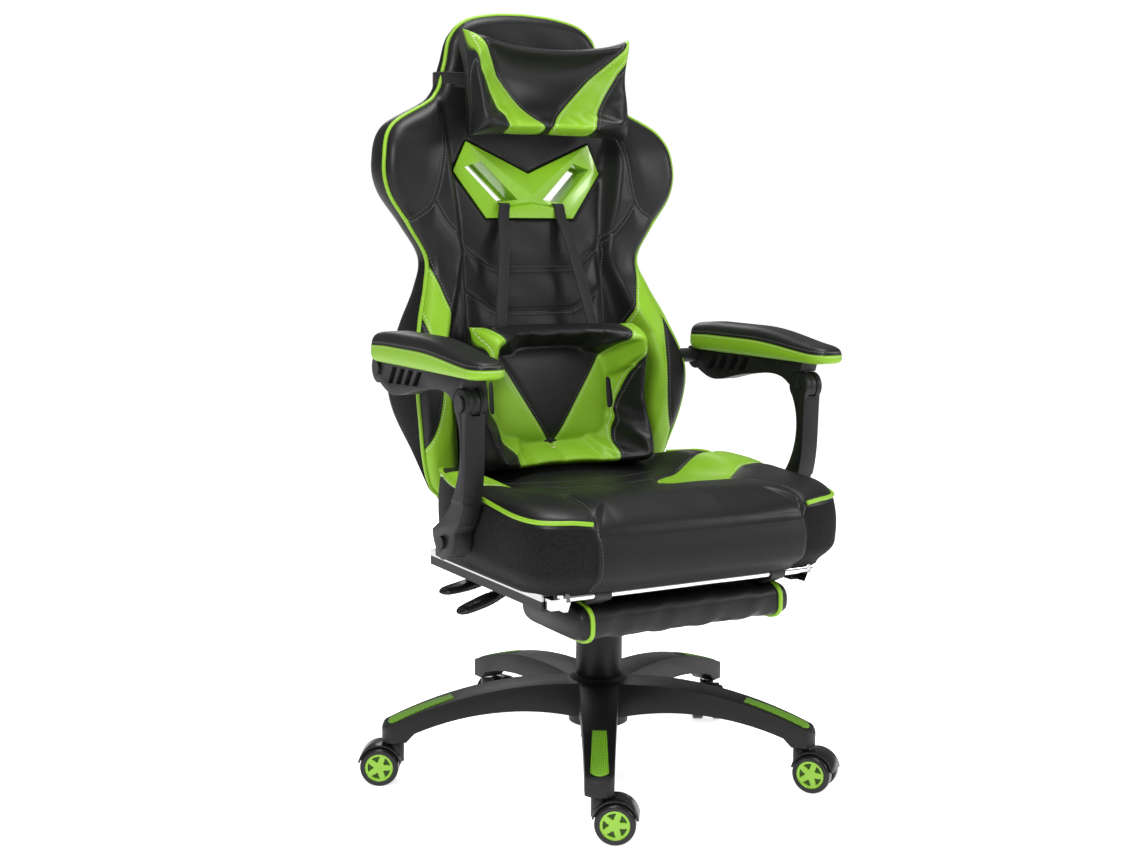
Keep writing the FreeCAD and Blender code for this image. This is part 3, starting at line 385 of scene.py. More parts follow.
def makeMesh(name, points, faces, fields=None):
    mesh = bpy.data.meshes.new(name)
    mesh.from_pydata([tuple(p) for p in points], [], faces)
    for key, values in (fields or {}).items():
        attribute = mesh.attributes.new(key, "FLOAT", "POINT")
        attribute.data.foreach_set("value", np.asarray(values, np.float32))
    mesh.update()
    piece = bpy.data.objects.new(name, mesh)
    bpy.context.collection.objects.link(piece)
    return piece


def gridFaces(rows, columns, start=0, wrap=False, flip=False):
    faces = []
    last = columns if wrap else columns - 1
    for row in range(rows - 1):
        for column in range(last):
            after = (column + 1) % columns
            face = (start + row * columns + column, start + row * columns + after,
                    start + (row + 1) * columns + after, start + (row + 1) * columns + column)
            faces.append(face[::-1] if flip else face)
    return faces


def loft(name, loops, angle, fields=None):
    # rings joined into a tube, closed at both ends
    around = len(loops[0])
    points = np.vstack(loops)
    faces = gridFaces(len(loops), around, wrap=True)
    faces.append(tuple(range(around))[::-1])
    faces.append(tuple(range(len(points) - around, len(points))))
    piece = makeMesh(name, points, faces, fields)
    outwardNormals(piece)
    smoothShade(piece, angle)
    return piece


def onlySelect(piece):
    bpy.ops.object.select_all(action="DESELECT")
    piece.select_set(True)
    bpy.context.view_layer.objects.active = piece


def outwardNormals(piece, merge=0.00002):
    onlySelect(piece)
    bpy.ops.object.mode_set(mode="EDIT")
    bpy.ops.mesh.select_all(action="SELECT")
    bpy.ops.mesh.remove_doubles(threshold=merge)
    bpy.ops.mesh.normals_make_consistent(inside=False)
    bpy.ops.object.mode_set(mode="OBJECT")


def smoothShade(piece, angle=40):
    onlySelect(piece)
    bpy.ops.object.shade_smooth_by_angle(angle=math.radians(angle))


def applyModifier(piece, kind, **settings):
    onlySelect(piece)
    modifier = piece.modifiers.new(kind.lower(), kind)
    for key, value in settings.items():
        setattr(modifier, key, value)
    bpy.ops.object.modifier_apply(modifier=modifier.name)


def dress(piece, body, finish, slotName, *nodes):
    piece.data.materials.clear()
    piece.data.materials.append(finishes[finish])
    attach(piece, body)
    if nodes:
        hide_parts(*nodes)
    return piece


def pipeAlong(name, points, radius, closed=False, rings=6):
    # round cord laid along a line and turned into a mesh
    curve = bpy.data.curves.new(name, "CURVE")
    curve.dimensions = "3D"
    spline = curve.splines.new("POLY")
    spline.points.add(len(points) - 1)
    for target, place in zip(spline.points, points):
        target.co = (*place, 1)
    spline.use_cyclic_u = closed
    curve.bevel_depth = radius
    curve.bevel_resolution = rings // 2
    curve.use_fill_caps = not closed
    piece = bpy.data.objects.new(name, curve)
    bpy.context.collection.objects.link(piece)
    onlySelect(piece)
    bpy.ops.object.convert(target="MESH")
    outwardNormals(piece)
    smoothShade(piece, 60)
    return piece


def copyNode(name, title, merge=0.00002):
    # own copy of a carried-over part, its loose triangles joined
    source = frame["nodes"][name]
    mesh = source.data.copy()
    piece = bpy.data.objects.new(title, mesh)
    bpy.context.collection.objects.link(piece)
    onlySelect(piece)
    bpy.ops.object.mode_set(mode="EDIT")
    bpy.ops.mesh.select_all(action="SELECT")
    bpy.ops.mesh.remove_doubles(threshold=merge)
    bpy.ops.mesh.customdata_custom_splitnormals_clear()
    bpy.ops.mesh.dissolve_limited(angle_limit=math.radians(1.2))
    bpy.ops.object.mode_set(mode="OBJECT")
    return piece


def refineNode(name, body, finish, slotName, edge=0.0012, steps=2, angle=32):
    piece = copyNode(name, name + "_fine")
    if edge:
        applyModifier(piece, "BEVEL", width=edge, segments=steps, limit_method="ANGLE",
                      angle_limit=math.radians(angle), harden_normals=False, use_clamp_overlap=True)
    smoothShade(piece, 35)
    return dress(piece, body, finish, slotName, name)


view = {"place": (-1.21370, -1.99538, 0.79779), "azimuth": -0.52714, "down": 0.12866, "roll": 0.00924,
        "lens": 51.905}
bpy.ops.object.camera_add(location=view["place"])
camera = bpy.context.object
turn = (Matrix.Rotation(view["azimuth"], 4, "Z") @ Matrix.Rotation(math.pi / 2 - view["down"], 4, "X")
        @ Matrix.Rotation(view["roll"], 4, "Z"))
camera.rotation_euler = turn.to_euler()
camera.data.lens = view["lens"]
camera.data.sensor_width = 36
bpy.context.scene.camera = camera

floorPaint = Paint("paleFloor")
cloud = floorPaint.noise(1.5, 2.0)
paleGrey = floorPaint.mixed(cloud, (0.90, 0.90, 0.90, 1), (0.92, 0.92, 0.92, 1))
finishes["floor"] = floorPaint.finish(paleGrey, 0.6,
                                      Emission_Color=(1, 1, 1, 1), Emission_Strength=0.78)
bpy.ops.mesh.primitive_plane_add(size=24, location=(0, 0, -0.0006))
floor = bpy.context.object
floor.name = "studioFloor"
floor.data.materials.append(finishes["floor"])

lamps = [
    # name, place, aimed at, size, power
    ("keyLamp", (-2.2, -2.2, 2.4), (0, 0, 0.6), 1.0, 84),
    ("fillLamp", (2.4, -1.9, 1.6), (0, 0, 0.6), 0.9, 38),
    ("topLamp", (0.1, 0.0, 2.9), (0, 0, 0.5), 1.1, 52),
    ("rimLamp", (0.9, 2.6, 2.0), (0, 0, 0.8), 1.2, 16),
]
for name, place, aim, size, power in lamps:
    bpy.ops.object.light_add(type="AREA", location=place)
    lamp = bpy.context.object
    lamp.name = name
    lamp.data.shape = "SQUARE"
    lamp.data.size = size
    lamp.data.energy = power
    direction = Matrix.Translation(aim).to_translation() - lamp.location
    lamp.rotation_euler = direction.to_track_quat("-Z", "Y").to_euler()
world = bpy.data.worlds.new("studioAir")
world.use_nodes = True
air = world.node_tree
rays = air.nodes.new("ShaderNodeLightPath")
strength = air.nodes.new("ShaderNodeMapRange")
strength.inputs["To Min"].default_value = 0.30
strength.inputs["To Max"].default_value = 1.0
air.links.new(rays.outputs["Is Camera Ray"], strength.inputs["Value"])
air.links.new(strength.outputs["Result"], air.nodes["Background"].inputs["Strength"])
air.nodes["Background"].inputs["Color"].default_value = (1, 1, 1, 1)
bpy.context.scene.world = world
bpy.context.scene.view_settings.view_transform = "Standard"
bpy.context.scene.view_settings.gamma = 0.9
print("camera, floor and lamps placed")


back = {
    "outline": [(0.176, 0.384), (0.198, 0.41), (0.220, 0.494), (0.227, 0.568), (0.210, 0.637), (0.189, 0.69),
                (0.180, 0.733), (0.207, 0.781), (0.239, 0.829), (0.245, 0.875), (0.226, 0.924), (0.150, 0.968),
                (0.131, 1.014), (0.122, 1.056), (0.096, 1.081), (0.050, 1.092), (0.0, 1.095)],
    "front": [(0.378, 0.152), (0.446, 0.137), (0.508, 0.121), (0.568, 0.121), (0.637, 0.150), (0.685, 0.173),
              (0.738, 0.191), (0.868, 0.191), (0.924, 0.206), (0.972, 0.226), (1.02, 0.229), (1.068, 0.226),
              (1.102, 0.232)],
    "rear": [(0.378, 0.160), (0.452, 0.214), (0.513, 0.258), (0.578, 0.262), (0.678, 0.252), (0.778, 0.262),
             (0.878, 0.277), (0.998, 0.289), (1.063, 0.268), (1.102, 0.244)],
    "panel": [(0.358, 0.148, 0.058), (0.618, 0.148, 0.058), (0.738, 0.118, 0.044), (0.891, 0.134, 0.044),
              (0.971, 0.150, 0.044)],
    "lean": 0.1333, "foot": (0.398, 0.165), "deepest": 0.228,
    "edge": 0.015, "rows": 264, "columns": 161, "rearColumns": 121, "side": 13,
    "rearRound": 0.030, "rearFall": 0.028, "thinnest": 0.012, "bulge": 0.006, "clothTop": 0.728, "plain": -0.02,
    "wingSeams": [[(0.147, 0.941), (0.152, 0.906), (0.172, 0.819), (0.207, 0.789)],
                  [(0.172, 0.819), (0.150, 0.786), (0.1175, 0.756)],
                  [(0.1175, 0.756), (0.118, 0.686), (0.118, 0.436)]],
    "channels": [0.716, 0.652, 0.588, 0.524, 0.460],
    "greenBand": [(0.1815, 0.734), (0.165, 0.676), (0.151, 0.626), (0.1455, 0.566), (0.143, 0.486), (0.145, 0.432),
                  (0.152, 0.391), (0.200, 0.366), (0.235, 0.416), (0.215, 0.453), (0.199, 0.491), (0.1925, 0.541),
                  (0.1965, 0.596), (0.2055, 0.648), (0.2085, 0.674), (0.26, 0.696), (0.24, 0.733)],
    "cord": 0.0033,
}


def floorDepth(z):
    return np.minimum(back["foot"][1] + (z - back["foot"][0]) * back["lean"], back["deepest"])


def profile(table, z):
    line = smoothLine(table, 8)
    return np.interp(z, line[:, 0], line[:, 1])


def softMax(a, b, r):
    gap = np.clip(r - np.abs(a - b), 0, None)
    return np.maximum(a, b) + gap * gap / (4 * r)


def crestDepth(x, z):
    # front face without its edge rounding
    z = np.asarray(z, float)
    x = np.abs(x)
    levels = np.array(back["panel"])
    half = np.interp(z, levels[:, 0], levels[:, 1])
    run = np.interp(z, levels[:, 0], levels[:, 2])
    flat = floorDepth(z)
    wall = flat - (x - half) * 0.110 / run
    hollow = -softMax(-flat, -wall, 0.016)
    crest = profile(back["front"], z)
    return softMax(crest, hollow, 0.014)


backLine = evenly(smoothLine(back["outline"], 14), back["rows"])


def seamLines(lines):
    return [smoothLine(line, 6) for line in lines]


def channelLines():
    lines = []
    for z in back["channels"]:
        lines.append(np.array([(0, z), (0.062, z), (0.075, z + 0.004), (0.1175, z + 0.034)]))
    return lines


def makeBackrest():
    rows, columns, side = back["rows"], back["columns"], back["side"]
    half, height = backLine[:, 0], backLine[:, 1]
    centre = np.linspace(height[0], height[-1], rows)
    across = np.linspace(-1, 1, columns)
    grid = []
    for k in range(rows):
        rise = centre[k] + (height[k] - centre[k]) * across ** 2
        grid.append(np.stack([across * half[k], rise], axis=1))
    plan = np.array(grid)                                   # rows, columns, (x, z)
    flat = plan.reshape(-1, 2)
    folded = np.stack([np.abs(flat[:, 0]), flat[:, 1]], axis=1)
    edge, _ = lineDistance(folded, backLine)
    low = folded[:, 1] - backLine[0, 1]
    edge = np.minimum(edge, low)
    wings = seamLines(back["wingSeams"])
    channels = channelLines()
    green = insideDistance(folded, smoothLine(back["greenBand"] + back["greenBand"][:1], 5))
    seamA, alongA = seamTable(folded, wings)
    seamB, alongB = seamTable(folded, channels)
    seamC = np.abs(green)
    seam = np.minimum(np.minimum(seamA, seamB), seamC)
    along = np.where(seamA <= np.minimum(seamB, seamC), alongA, np.where(seamB <= seamC, alongB, folded[:, 1]))
    depth = crestDepth(folded[:, 0], folded[:, 1])
    radius = back["edge"]
    near = np.clip(1 - edge / radius, 0, 1)
    depth = depth + radius * (1 - np.sqrt(1 - near ** 2 * 0.98)) * 0.9
    depth = depth + 0.0024 * np.exp(-(seam / 0.0042) ** 2) - 0.0022 * ease(seam / 0.026)
    ripple = np.sin(folded[:, 1] * 61 + flat[:, 0] * 23) * np.sin(flat[:, 0] * 47 + folded[:, 1] * 19)
    depth = depth + 0.0006 * ripple * ease(edge / 0.03)
    inVent = ease(insideDistance(folded, ventHalf) / 0.004 + 1.0)
    depth = depth + (np.maximum(depth, floorDepth(folded[:, 1]) + 0.004) - depth) * inVent
    frontFace = np.stack([flat[:, 0], depth, flat[:, 1]], axis=1).reshape(rows, columns, 3)

    rearColumns = back["rearColumns"]
    plain = back["plain"]
    acrossRear = np.linspace(1, -1, rearColumns)
    ring = []
    fields = {"green": [], "seam": [], "along": [], "cloth": []}
    total = columns + 2 * side + rearColumns
    greenGrid = green.reshape(rows, columns)
    seamGrid = seam.reshape(rows, columns)
    alongGrid = along.reshape(rows, columns)
    for k in range(rows):
        rise = centre[k] + (height[k] - centre[k]) * acrossRear ** 2
        x = acrossRear * half[k]
        fold = np.stack([np.abs(x), rise], axis=1)
        gap, _ = lineDistance(fold, backLine)
        gap = np.minimum(gap, rise - backLine[0, 1] + 0.004)
        near = np.clip(1 - gap / back["rearRound"], 0, 1)
        y = profile(back["rear"], rise) - back["rearFall"] * (1 - np.sqrt(1 - near ** 2 * 0.98))
        y = np.maximum(y, crestDepth(fold[:, 0], fold[:, 1]) + back["thinnest"])
        pocket = ease(insideDistance(fold, ventHalf) / 0.010 + 1.0)
        y = y + (np.minimum(y, floorDepth(rise) + 0.0375) - y) * pocket
        rear = np.stack([x, y, rise], axis=1)
        right = frontFace[k, -1]
        steps = np.linspace(0, 1, side + 2)[1:-1, None]
        first = right + (rear[0] - right) * steps
        bulge = np.sin(steps[:, 0] * math.pi) * back["bulge"] * min(1, half[k] / 0.05)
        first[:, 0] += bulge
        last = first[::-1].copy()
        last[:, 0] *= -1
        ring.append(np.vstack([frontFace[k], first, rear, last]))
        sideCloth = np.full(side, min(0.02, back["clothTop"] - height[k]))
        cloth = [np.full(columns, plain), sideCloth, np.full(rearColumns, plain), sideCloth]
        fields["cloth"].append(np.concatenate(cloth))
        fields["green"].append(np.concatenate([greenGrid[k], np.full(total - columns, plain)]))
        fields["seam"].append(np.concatenate([seamGrid[k], np.full(total - columns, 0.05)]))
        fields["along"].append(np.concatenate([alongGrid[k], np.full(total - columns, 0.0)]))
    points = np.vstack(ring)
    faces = gridFaces(rows, total, wrap=True)
    # bottom closed between the front and rear columns
    faces.append(tuple(range(total))[::-1])
    windows = np.array(vent["window"])
    keep = []
    for face in faces:
        if len(face) == 4:
            middle = points[list(face)].mean(axis=0)
            spot = np.array([[abs(middle[0]), middle[2]]])
            if insideDistance(spot, windows)[0] > -0.002 and abs(middle[0]) < 0.12:
                continue
        keep.append(face)
    values = {key: np.concatenate(value) for key, value in fields.items()}
    piece = makeMesh("backrestCover", points, keep, values)
    outwardNormals(piece)
    smoothShade(piece, 50)
    dress(piece, "backrest", "panels", "black_leather", "backrest_cushion")
    return piece


ventHalf = np.array([(-0.02, 0.850), (0.0, 0.859), (0.105, 0.905), (0.126, 0.861), (0.075, 0.792), (-0.02, 0.792)])
vent = {"window": [(0.080, 0.876), (0.107, 0.867), (0.056, 0.816), (0.022, 0.82)]}
makeBackrest()
edgeLine = []
for x, z in backLine:
    edgeLine.append((x, float(crestDepth(x, z)) + back["edge"] * 0.78, z))
edgeLine = np.array(edgeLine)
rightHalf = edgeLine + np.array([0.0012, 0, 0])
leftHalf = edgeLine[::-1][1:] * np.array([-1, 1, 1]) - np.array([0.0012, 0, 0])
bottom = [(x, edgeLine[0, 1], edgeLine[0, 2] - 0.001) for x in np.linspace(-0.165, 0.165, 12)]
piping = pipeAlong("backrestPiping", np.vstack([rightHalf, leftHalf, bottom]), back["cord"], closed=True)
dress(piping, "backrest", "piping", "black_leather")
print("backrest made")


seat = {
    "plan": [(0.0, -0.262), (0.10, -0.2615), (0.18, -0.257), (0.226, -0.240), (0.243, -0.205), (0.246, -0.15),
             (0.246, -0.06), (0.245, -0.015), (0.232, 0.035), (0.212, 0.085), (0.196, 0.113),
             (0.17, 0.123), (0.0, 0.124)],
    "low": 0.3185, "rings": 84, "wall": 30, "under": 8, "around": 560, "cord": 0.0031, "middle": (0.0, -0.06),
    "centre": [(-0.262, 0.424), (-0.21, 0.4335), (-0.17, 0.4345), (-0.13, 0.431), (-0.09, 0.424), (-0.03, 0.416),
               (0.05, 0.414), (0.124, 0.417)],
    "bolster": [(-0.262, 0.425), (-0.20, 0.4325), (-0.10, 0.437), (0.0, 0.442), (0.06, 0.441), (0.124, 0.436)],
    "edge": [(-0.262, 0.413), (-0.20, 0.4165), (-0.10, 0.4265), (0.0, 0.4365), (0.06, 0.438), (0.124, 0.430)],
    "frontEdge": 0.397,
    "panelSeam": [(0.163, -0.275), (0.162, -0.235), (0.158, -0.195), (0.150, -0.160), (0.136, -0.135), (0.10, -0.121),
                  (0.0, -0.114)],
    "leaf": [(0.26, -0.058), (0.215, -0.062), (0.176, -0.082), (0.148, -0.106), (0.136, -0.135), (0.03, -0.126),
             (0.062, -0.060), (0.098, 0.0), (0.148, 0.030), (0.196, 0.044), (0.26, 0.040)],
    "channels": [[(0.0, -0.075), (0.05, -0.068), (0.085, -0.045)], [(0.0, -0.025), (0.06, -0.015), (0.11, 0.01)],
                 [(0.0, 0.03), (0.07, 0.04), (0.13, 0.06)]],
}


def makeSeat():
    half = smoothLine(seat["plan"], 10)
    full = np.vstack([half, (half[::-1] * [-1, 1])[1:-1]])
    plan = evenly(np.vstack([full, full[:1]]), seat["around"] + 1)[:-1]
    count = len(plan)
    middle = np.array(seat["middle"])
    front = ease((-0.215 - plan[:, 1]) / 0.035) * ease((0.168 - np.abs(plan[:, 0])) / 0.008)   # open front roll
    corner = ease((-0.19 - plan[:, 1]) / 0.06)
    points, cloth = [], []
    edgeLevel = profile(seat["edge"], plan[:, 1])
    edgeLevel = edgeLevel + (seat["frontEdge"] - edgeLevel) * front
    for ring in range(seat["rings"]):
        share = (ring + 0.1) / (seat["rings"] - 0.9)
        share = 1 - (1 - share) ** 1.3
        flat = middle + (plan - middle) * share
        inner = np.linalg.norm((plan - middle) * (1 - share), axis=1)
        radius = 0.026 + front * 0.040 + corner * 0.012
        near = np.clip(1 - inner / radius, 0, 1)
        x, y = flat[:, 0], flat[:, 1]
        centre = profile(seat["centre"], y)
        bolster = profile(seat["bolster"], y)
        wing = np.exp(-(np.clip(0.205 - np.abs(x), 0, None) / 0.036) ** 2)
        z = centre + (bolster - centre) * wing
        z = edgeLevel + (z - edgeLevel) * np.sqrt(np.clip(1 - near ** 2.2, 0, 1))
        points.append(np.stack([x, y, z], axis=1))
        cloth.append(np.full(count, -0.02))
    edgeTop = points[-1][:, 2]
    side = plan - np.roll(plan, 1, axis=0)
    normal = np.stack([side[:, 1], -side[:, 0]], axis=1)
    normal = normal + np.roll(normal, -1, axis=0)
    normal = normal / np.linalg.norm(normal, axis=1)[:, None]
    if (normal * (plan - middle)).sum() < 0:
        normal = -normal
    for step in range(1, seat["wall"] + 1):
        t = step / seat["wall"]
        swell = np.sin(math.pi * min(1, t * 0.95 + 0.02) ** 0.8) * (0.005 + front * 0.006 + corner * 0.002)
        tuck = -0.020 * ease((t - 0.62) / 0.38) ** 1.6
        flat = plan + normal * (swell + tuck)[:, None]
        z = edgeTop + (seat["low"] + 0.002 - edgeTop) * t
        points.append(np.stack([flat[:, 0], flat[:, 1], z], axis=1))
        onSide = np.maximum(np.abs(plan[:, 0]) - 0.163, 0) * 1.0 - 0.0001
        cloth.append(np.where(plan[:, 1] > 0.118, -0.02, onSide) if t > 0.06 else np.full(count, -0.02))
    last = points[-1]
    for step in range(1, seat["under"] + 1):
        t = step / seat["under"]
        shrink = last.copy()
        shrink[:, :2] = middle + (last[:, :2] - middle) * (1 - t * 0.96)
        shrink[:, 2] = seat["low"]
        points.append(shrink)
        cloth.append(np.full(count, 0.02))
    table = np.vstack(points)
    rings = len(points)
    cloth = np.concatenate(cloth)
    flat = np.stack([np.abs(table[:, 0]), table[:, 1]], axis=1)
    level = np.repeat(np.arange(rings), count)
    onTop = level < seat["rings"]
    onWall = ~onTop & (level < seat["rings"] + seat["wall"])
    # seams of the front panel, the leaf inserts and the channels of the middle
    panel, alongPanel = seamTable(flat, [smoothLine(seat["panelSeam"], 6)])
    channel, _ = seamTable(flat, [smoothLine(line, 6) for line in seat["channels"]])
    leaf = insideDistance(flat, smoothLine(seat["leaf"] + seat["leaf"][:1], 6))
    frontWall = onWall & (table[:, 1] < -0.2)
    panelWall = np.abs(np.abs(table[:, 0]) - 0.163)
    behindPanel = flat[:, 1] > -0.118
    channel = np.where(onTop & behindPanel & (leaf < 0), channel, 0.05)
    inPanel = flat[:, 1] < np.interp(flat[:, 0], [0, 0.10, 0.136, 0.15], [-0.114, -0.121, -0.135, -0.16])
    leaf = np.where(onTop & ~(inPanel & (flat[:, 0] < 0.15)), leaf, -0.02)
    leaf = np.minimum(leaf, flat[:, 0] - np.where(table[:, 0] < 0, 0.150, 0.066))
    seam = np.where(onTop, np.minimum(panel, np.abs(leaf)), np.where(frontWall, panelWall, 0.05))
    groove = 0.0024 * np.exp(-(seam / 0.0045) ** 2) + 0.0016 * np.exp(-(channel / 0.005) ** 2)
    table[:, 2] -= np.where(onTop, groove - 0.0022 * ease(seam / 0.035), 0)
    table[:, 1] += np.where(frontWall, groove - 0.0022 * ease(seam / 0.035), 0)
    crumple = np.sin(table[:, 0] * 55 + table[:, 2] * 130) * np.sin(table[:, 0] * 21 - table[:, 1] * 33)
    table[:, 2] += 0.0006 * crumple * onTop
    along = np.where(onTop, alongPanel, table[:, 2])
    faces = gridFaces(rings, count, wrap=True)
    faces.append(tuple(range(count))[::-1])
    faces.append(tuple(range((rings - 1) * count, rings * count)))
    piece = makeMesh("seatCover", table, faces,
                     {"green": leaf, "seam": np.minimum(seam, channel), "along": along, "cloth": cloth})
    outwardNormals(piece)
    smoothShade(piece, 60)
    dress(piece, "seat", "panels", "black_leather", "seat_cushion")
    start = (seat["rings"] - 1) * count
    return piece, table[start:start + count]


seatCover, seatEdge = makeSeat()


def seatPiping():
    # from the rear corner forward, round the front corner and in to the front panel
    middle = np.array(seat["middle"])
    turn = np.arctan2(seatEdge[:, 0], -(seatEdge[:, 1] - middle[1]))
    for sign in (1, -1):
        angle = turn * sign
        chosen = np.where((angle > 0) & (np.abs(seatEdge[:, 0]) > 0.1665))[0]
        chosen = chosen[np.argsort(angle[chosen])]
        line = seatEdge[chosen].copy()
        line = line[(line[:, 1] < 0.10) | (np.abs(line[:, 0]) > 0.19)]
        outward = line[:, :2] - middle
        outward = outward / np.linalg.norm(outward, axis=1)[:, None]
        line[:, :2] += outward * 0.0016
        line[:, 2] += 0.0006
        line = evenly(line, 170)
        cord = pipeAlong("seatPiping" + ("Left" if sign > 0 else "Right"), line, seat["cord"])
        dress(cord, "seat", "piping", "black_leather")


seatPiping()
print("seat made")


def stuffedShell(name, outlineRows, columns, thickness, fields):
    # two sheets sewn round the edge, blown up by cloth and then brought to the wanted thickness
    rows = len(outlineRows)
    across = np.linspace(-1, 1, columns)
    flat = np.array([[(u * half, level(u)) for u in across] for half, level in outlineRows])
    x, z = flat[..., 0], flat[..., 1]
    v = np.linspace(-1, 1, rows)[:, None]
    swell = np.clip((1 - across[None, :] ** 6) * (1 - v ** 6), 0, 1) ** 0.5
    start = thickness * 0.32 * swell
    front = np.stack([x, -start, z], axis=-1).reshape(-1, 3)
    rear = np.stack([x, start, z], axis=-1).reshape(-1, 3)
    points = np.vstack([front, rear])
    faces = gridFaces(rows, columns) + gridFaces(rows, columns, start=len(front), flip=True)
    values = fields(x, z)
    rim = np.zeros(x.shape, bool)
    rim[0] = rim[-1] = rim[:, 0] = rim[:, -1] = True
    sheets = [np.where(rim, -0.0006, sheet) for sheet in values["green"]]
    values["green"] = (sheets[0], sheets[1])
    made = {key: np.concatenate([value.reshape(-1), backValue.reshape(-1)]) for key, (value, backValue) in
            values.items()}
    piece = makeMesh(name, points, faces, made)
    outwardNormals(piece, 0.0002)
    return piece


fabric = {"quality": 6, "mass": 0.25, "tension_stiffness": 30, "compression_stiffness": 30, "shear_stiffness": 8,
          "bending_stiffness": 8, "use_pressure": True}


def inflate(piece, pressure, frames, cap):
    rest = np.array([v.co for v in piece.data.vertices])
    onlySelect(piece)
    cloth = piece.modifiers.new("cloth", "CLOTH")
    for key, value in fabric.items():
        setattr(cloth.settings, key, value)
    cloth.settings.uniform_pressure_force = pressure
    cloth.settings.effector_weights.gravity = 0
    cloth.collision_settings.use_collision = False
    cloth.point_cache.frame_start = 1
    cloth.point_cache.frame_end = frames
    for step in range(1, frames + 1):
        bpy.context.scene.frame_set(step)
    shown = piece.evaluated_get(bpy.context.evaluated_depsgraph_get())
    moved = np.array([v.co for v in shown.data.vertices])
    bpy.context.scene.frame_set(1)
    piece.modifiers.remove(cloth)
    shift = moved - rest
    length = np.linalg.norm(shift, axis=1, keepdims=True) + 1e-9
    shift = shift * np.minimum(1, cap / length)
    piece.data.vertices.foreach_set("co", (rest + shift).reshape(-1))
    piece.data.update()


def movePoints(piece, change):
    points = np.array([v.co for v in piece.data.vertices])
    piece.data.vertices.foreach_set("co", change(points).reshape(-1))
    piece.data.update()


def readField(piece, name):
    values = np.empty(len(piece.data.vertices), np.float32)
    piece.data.attributes[name].data.foreach_get("value", values)
    return values


head = {"waist": 0.126, "rows": 40, "columns": 60, "thickness": 0.080, "tilt": -0.10, "middle": 0.986}


def headRow(v):
    # half width of a row and its height at each place across
    half = head["waist"] + (0.018 * max(v, 0) ** 2.4) + (0.006 * max(-v, 0) ** 3)
    def level(u):
        if v > 0:
            return v * (0.053 + 0.024 * abs(u) ** 3)
        return v * (0.066 + 0.012 * abs(u) ** 3)
    return half, level


def headFields(x, z):
    flat = np.stack([np.abs(x).reshape(-1), z.reshape(-1)], axis=1)
    stripe = insideDistance(flat, smoothLine([(0.150, 0.092), (0.128, 0.066), (0.098, 0.034), (0.050, -0.018),
                                              (0.012, -0.056), (0.0015, -0.070), (0.0015, -0.11), (0.064, -0.11),
                                              (0.071, -0.070), (0.092, -0.024), (0.120, 0.030), (0.142, 0.074)], 3))
    shape = x.shape
    return {"green": (stripe.reshape(shape), np.full(shape, -0.02)),
            "seam": (np.full(shape, 0.05), np.full(shape, 0.05)),
            "along": (flat[:, 1].reshape(shape) * 1.3, np.zeros(shape)),
            "cloth": (np.full(shape, -0.02), np.full(shape, -0.02))}


def pillowFinish(piece, body, node):
    applyModifier(piece, "SUBSURF", levels=2, render_levels=2)
    smoothShade(piece, 180)
    dress(piece, body, "panels", "black_leather", node)


def makeHeadPillow():
    rows = [headRow(v) for v in np.linspace(-1, 1, head["rows"])]
    piece = stuffedShell("headPillowCover", rows, head["columns"], head["thickness"], headFields)
    inflate(piece, 5.0, 20, 0.030)
    low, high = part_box("head_pillow")
    seam = np.abs(readField(piece, "green"))

    def place(points):
        x, y, z = points[:, 0], points[:, 1], points[:, 2]
        span = max(1e-6, y.max() - y.min())
        y = y * (head["thickness"] / span)
        y = y + 0.0022 * np.exp(-(seam / 0.005) ** 2) * np.where(y < 0, 1, 0)
        ears = ease((np.abs(x) - 0.07) / 0.07)
        pull = np.sin(np.abs(x) * 160 + z * 90) * 0.0012 * ears
        tilt = head["tilt"]
        centreY = (low[1] + high[1]) / 2 + 0.004
        centreZ = head["middle"]
        turnedY = y * math.cos(tilt) - z * math.sin(tilt)
        turnedZ = y * math.sin(tilt) + z * math.cos(tilt)
        hug = 0.030 * (np.abs(x) / 0.14) ** 2
        return np.stack([x, centreY + turnedY + pull - hug + 0.010, centreZ + turnedZ], axis=1)

    movePoints(piece, place)
    pillowFinish(piece, "head_pillow", "head_pillow")
    return piece


lumbar = {"half": 0.1435, "rows": 44, "columns": 58, "thickness": 0.100, "low": 0.426, "high": 0.632}


def lumbarRow(v):
    half = lumbar["half"] * (1 - 0.035 * (1 - abs(v)) - 0.015 * abs(v) ** 6)
    tall = (lumbar["high"] - lumbar["low"]) / 2
    corner = 0.004 if v > 0 else -0.004
    return half, lambda u: v * tall * (1 - 0.03 * (1 - abs(u) ** 2)) + corner * abs(u) ** 3


def lumbarFields(x, z):
    middle = (lumbar["high"] + lumbar["low"]) / 2
    flat = np.stack([np.abs(x).reshape(-1), z.reshape(-1) + middle], axis=1)
    band = np.array([(0.122, 0.641), (0.150, 0.646), (0.135, 0.601), (0.092, 0.456), (0.078, 0.406), (-0.012, 0.406),
                     (-0.012, 0.4515), (0.0, 0.4515)])
    green = insideDistance(flat, band)
    shape = x.shape
    return {"green": (green.reshape(shape), np.full(shape, -0.02)),
            "seam": (np.full(shape, 0.05), np.full(shape, 0.05)),
            "along": (flat[:, 1].reshape(shape) * 1.15, np.zeros(shape)),
            "cloth": (np.full(shape, -0.02), np.full(shape, -0.02))}


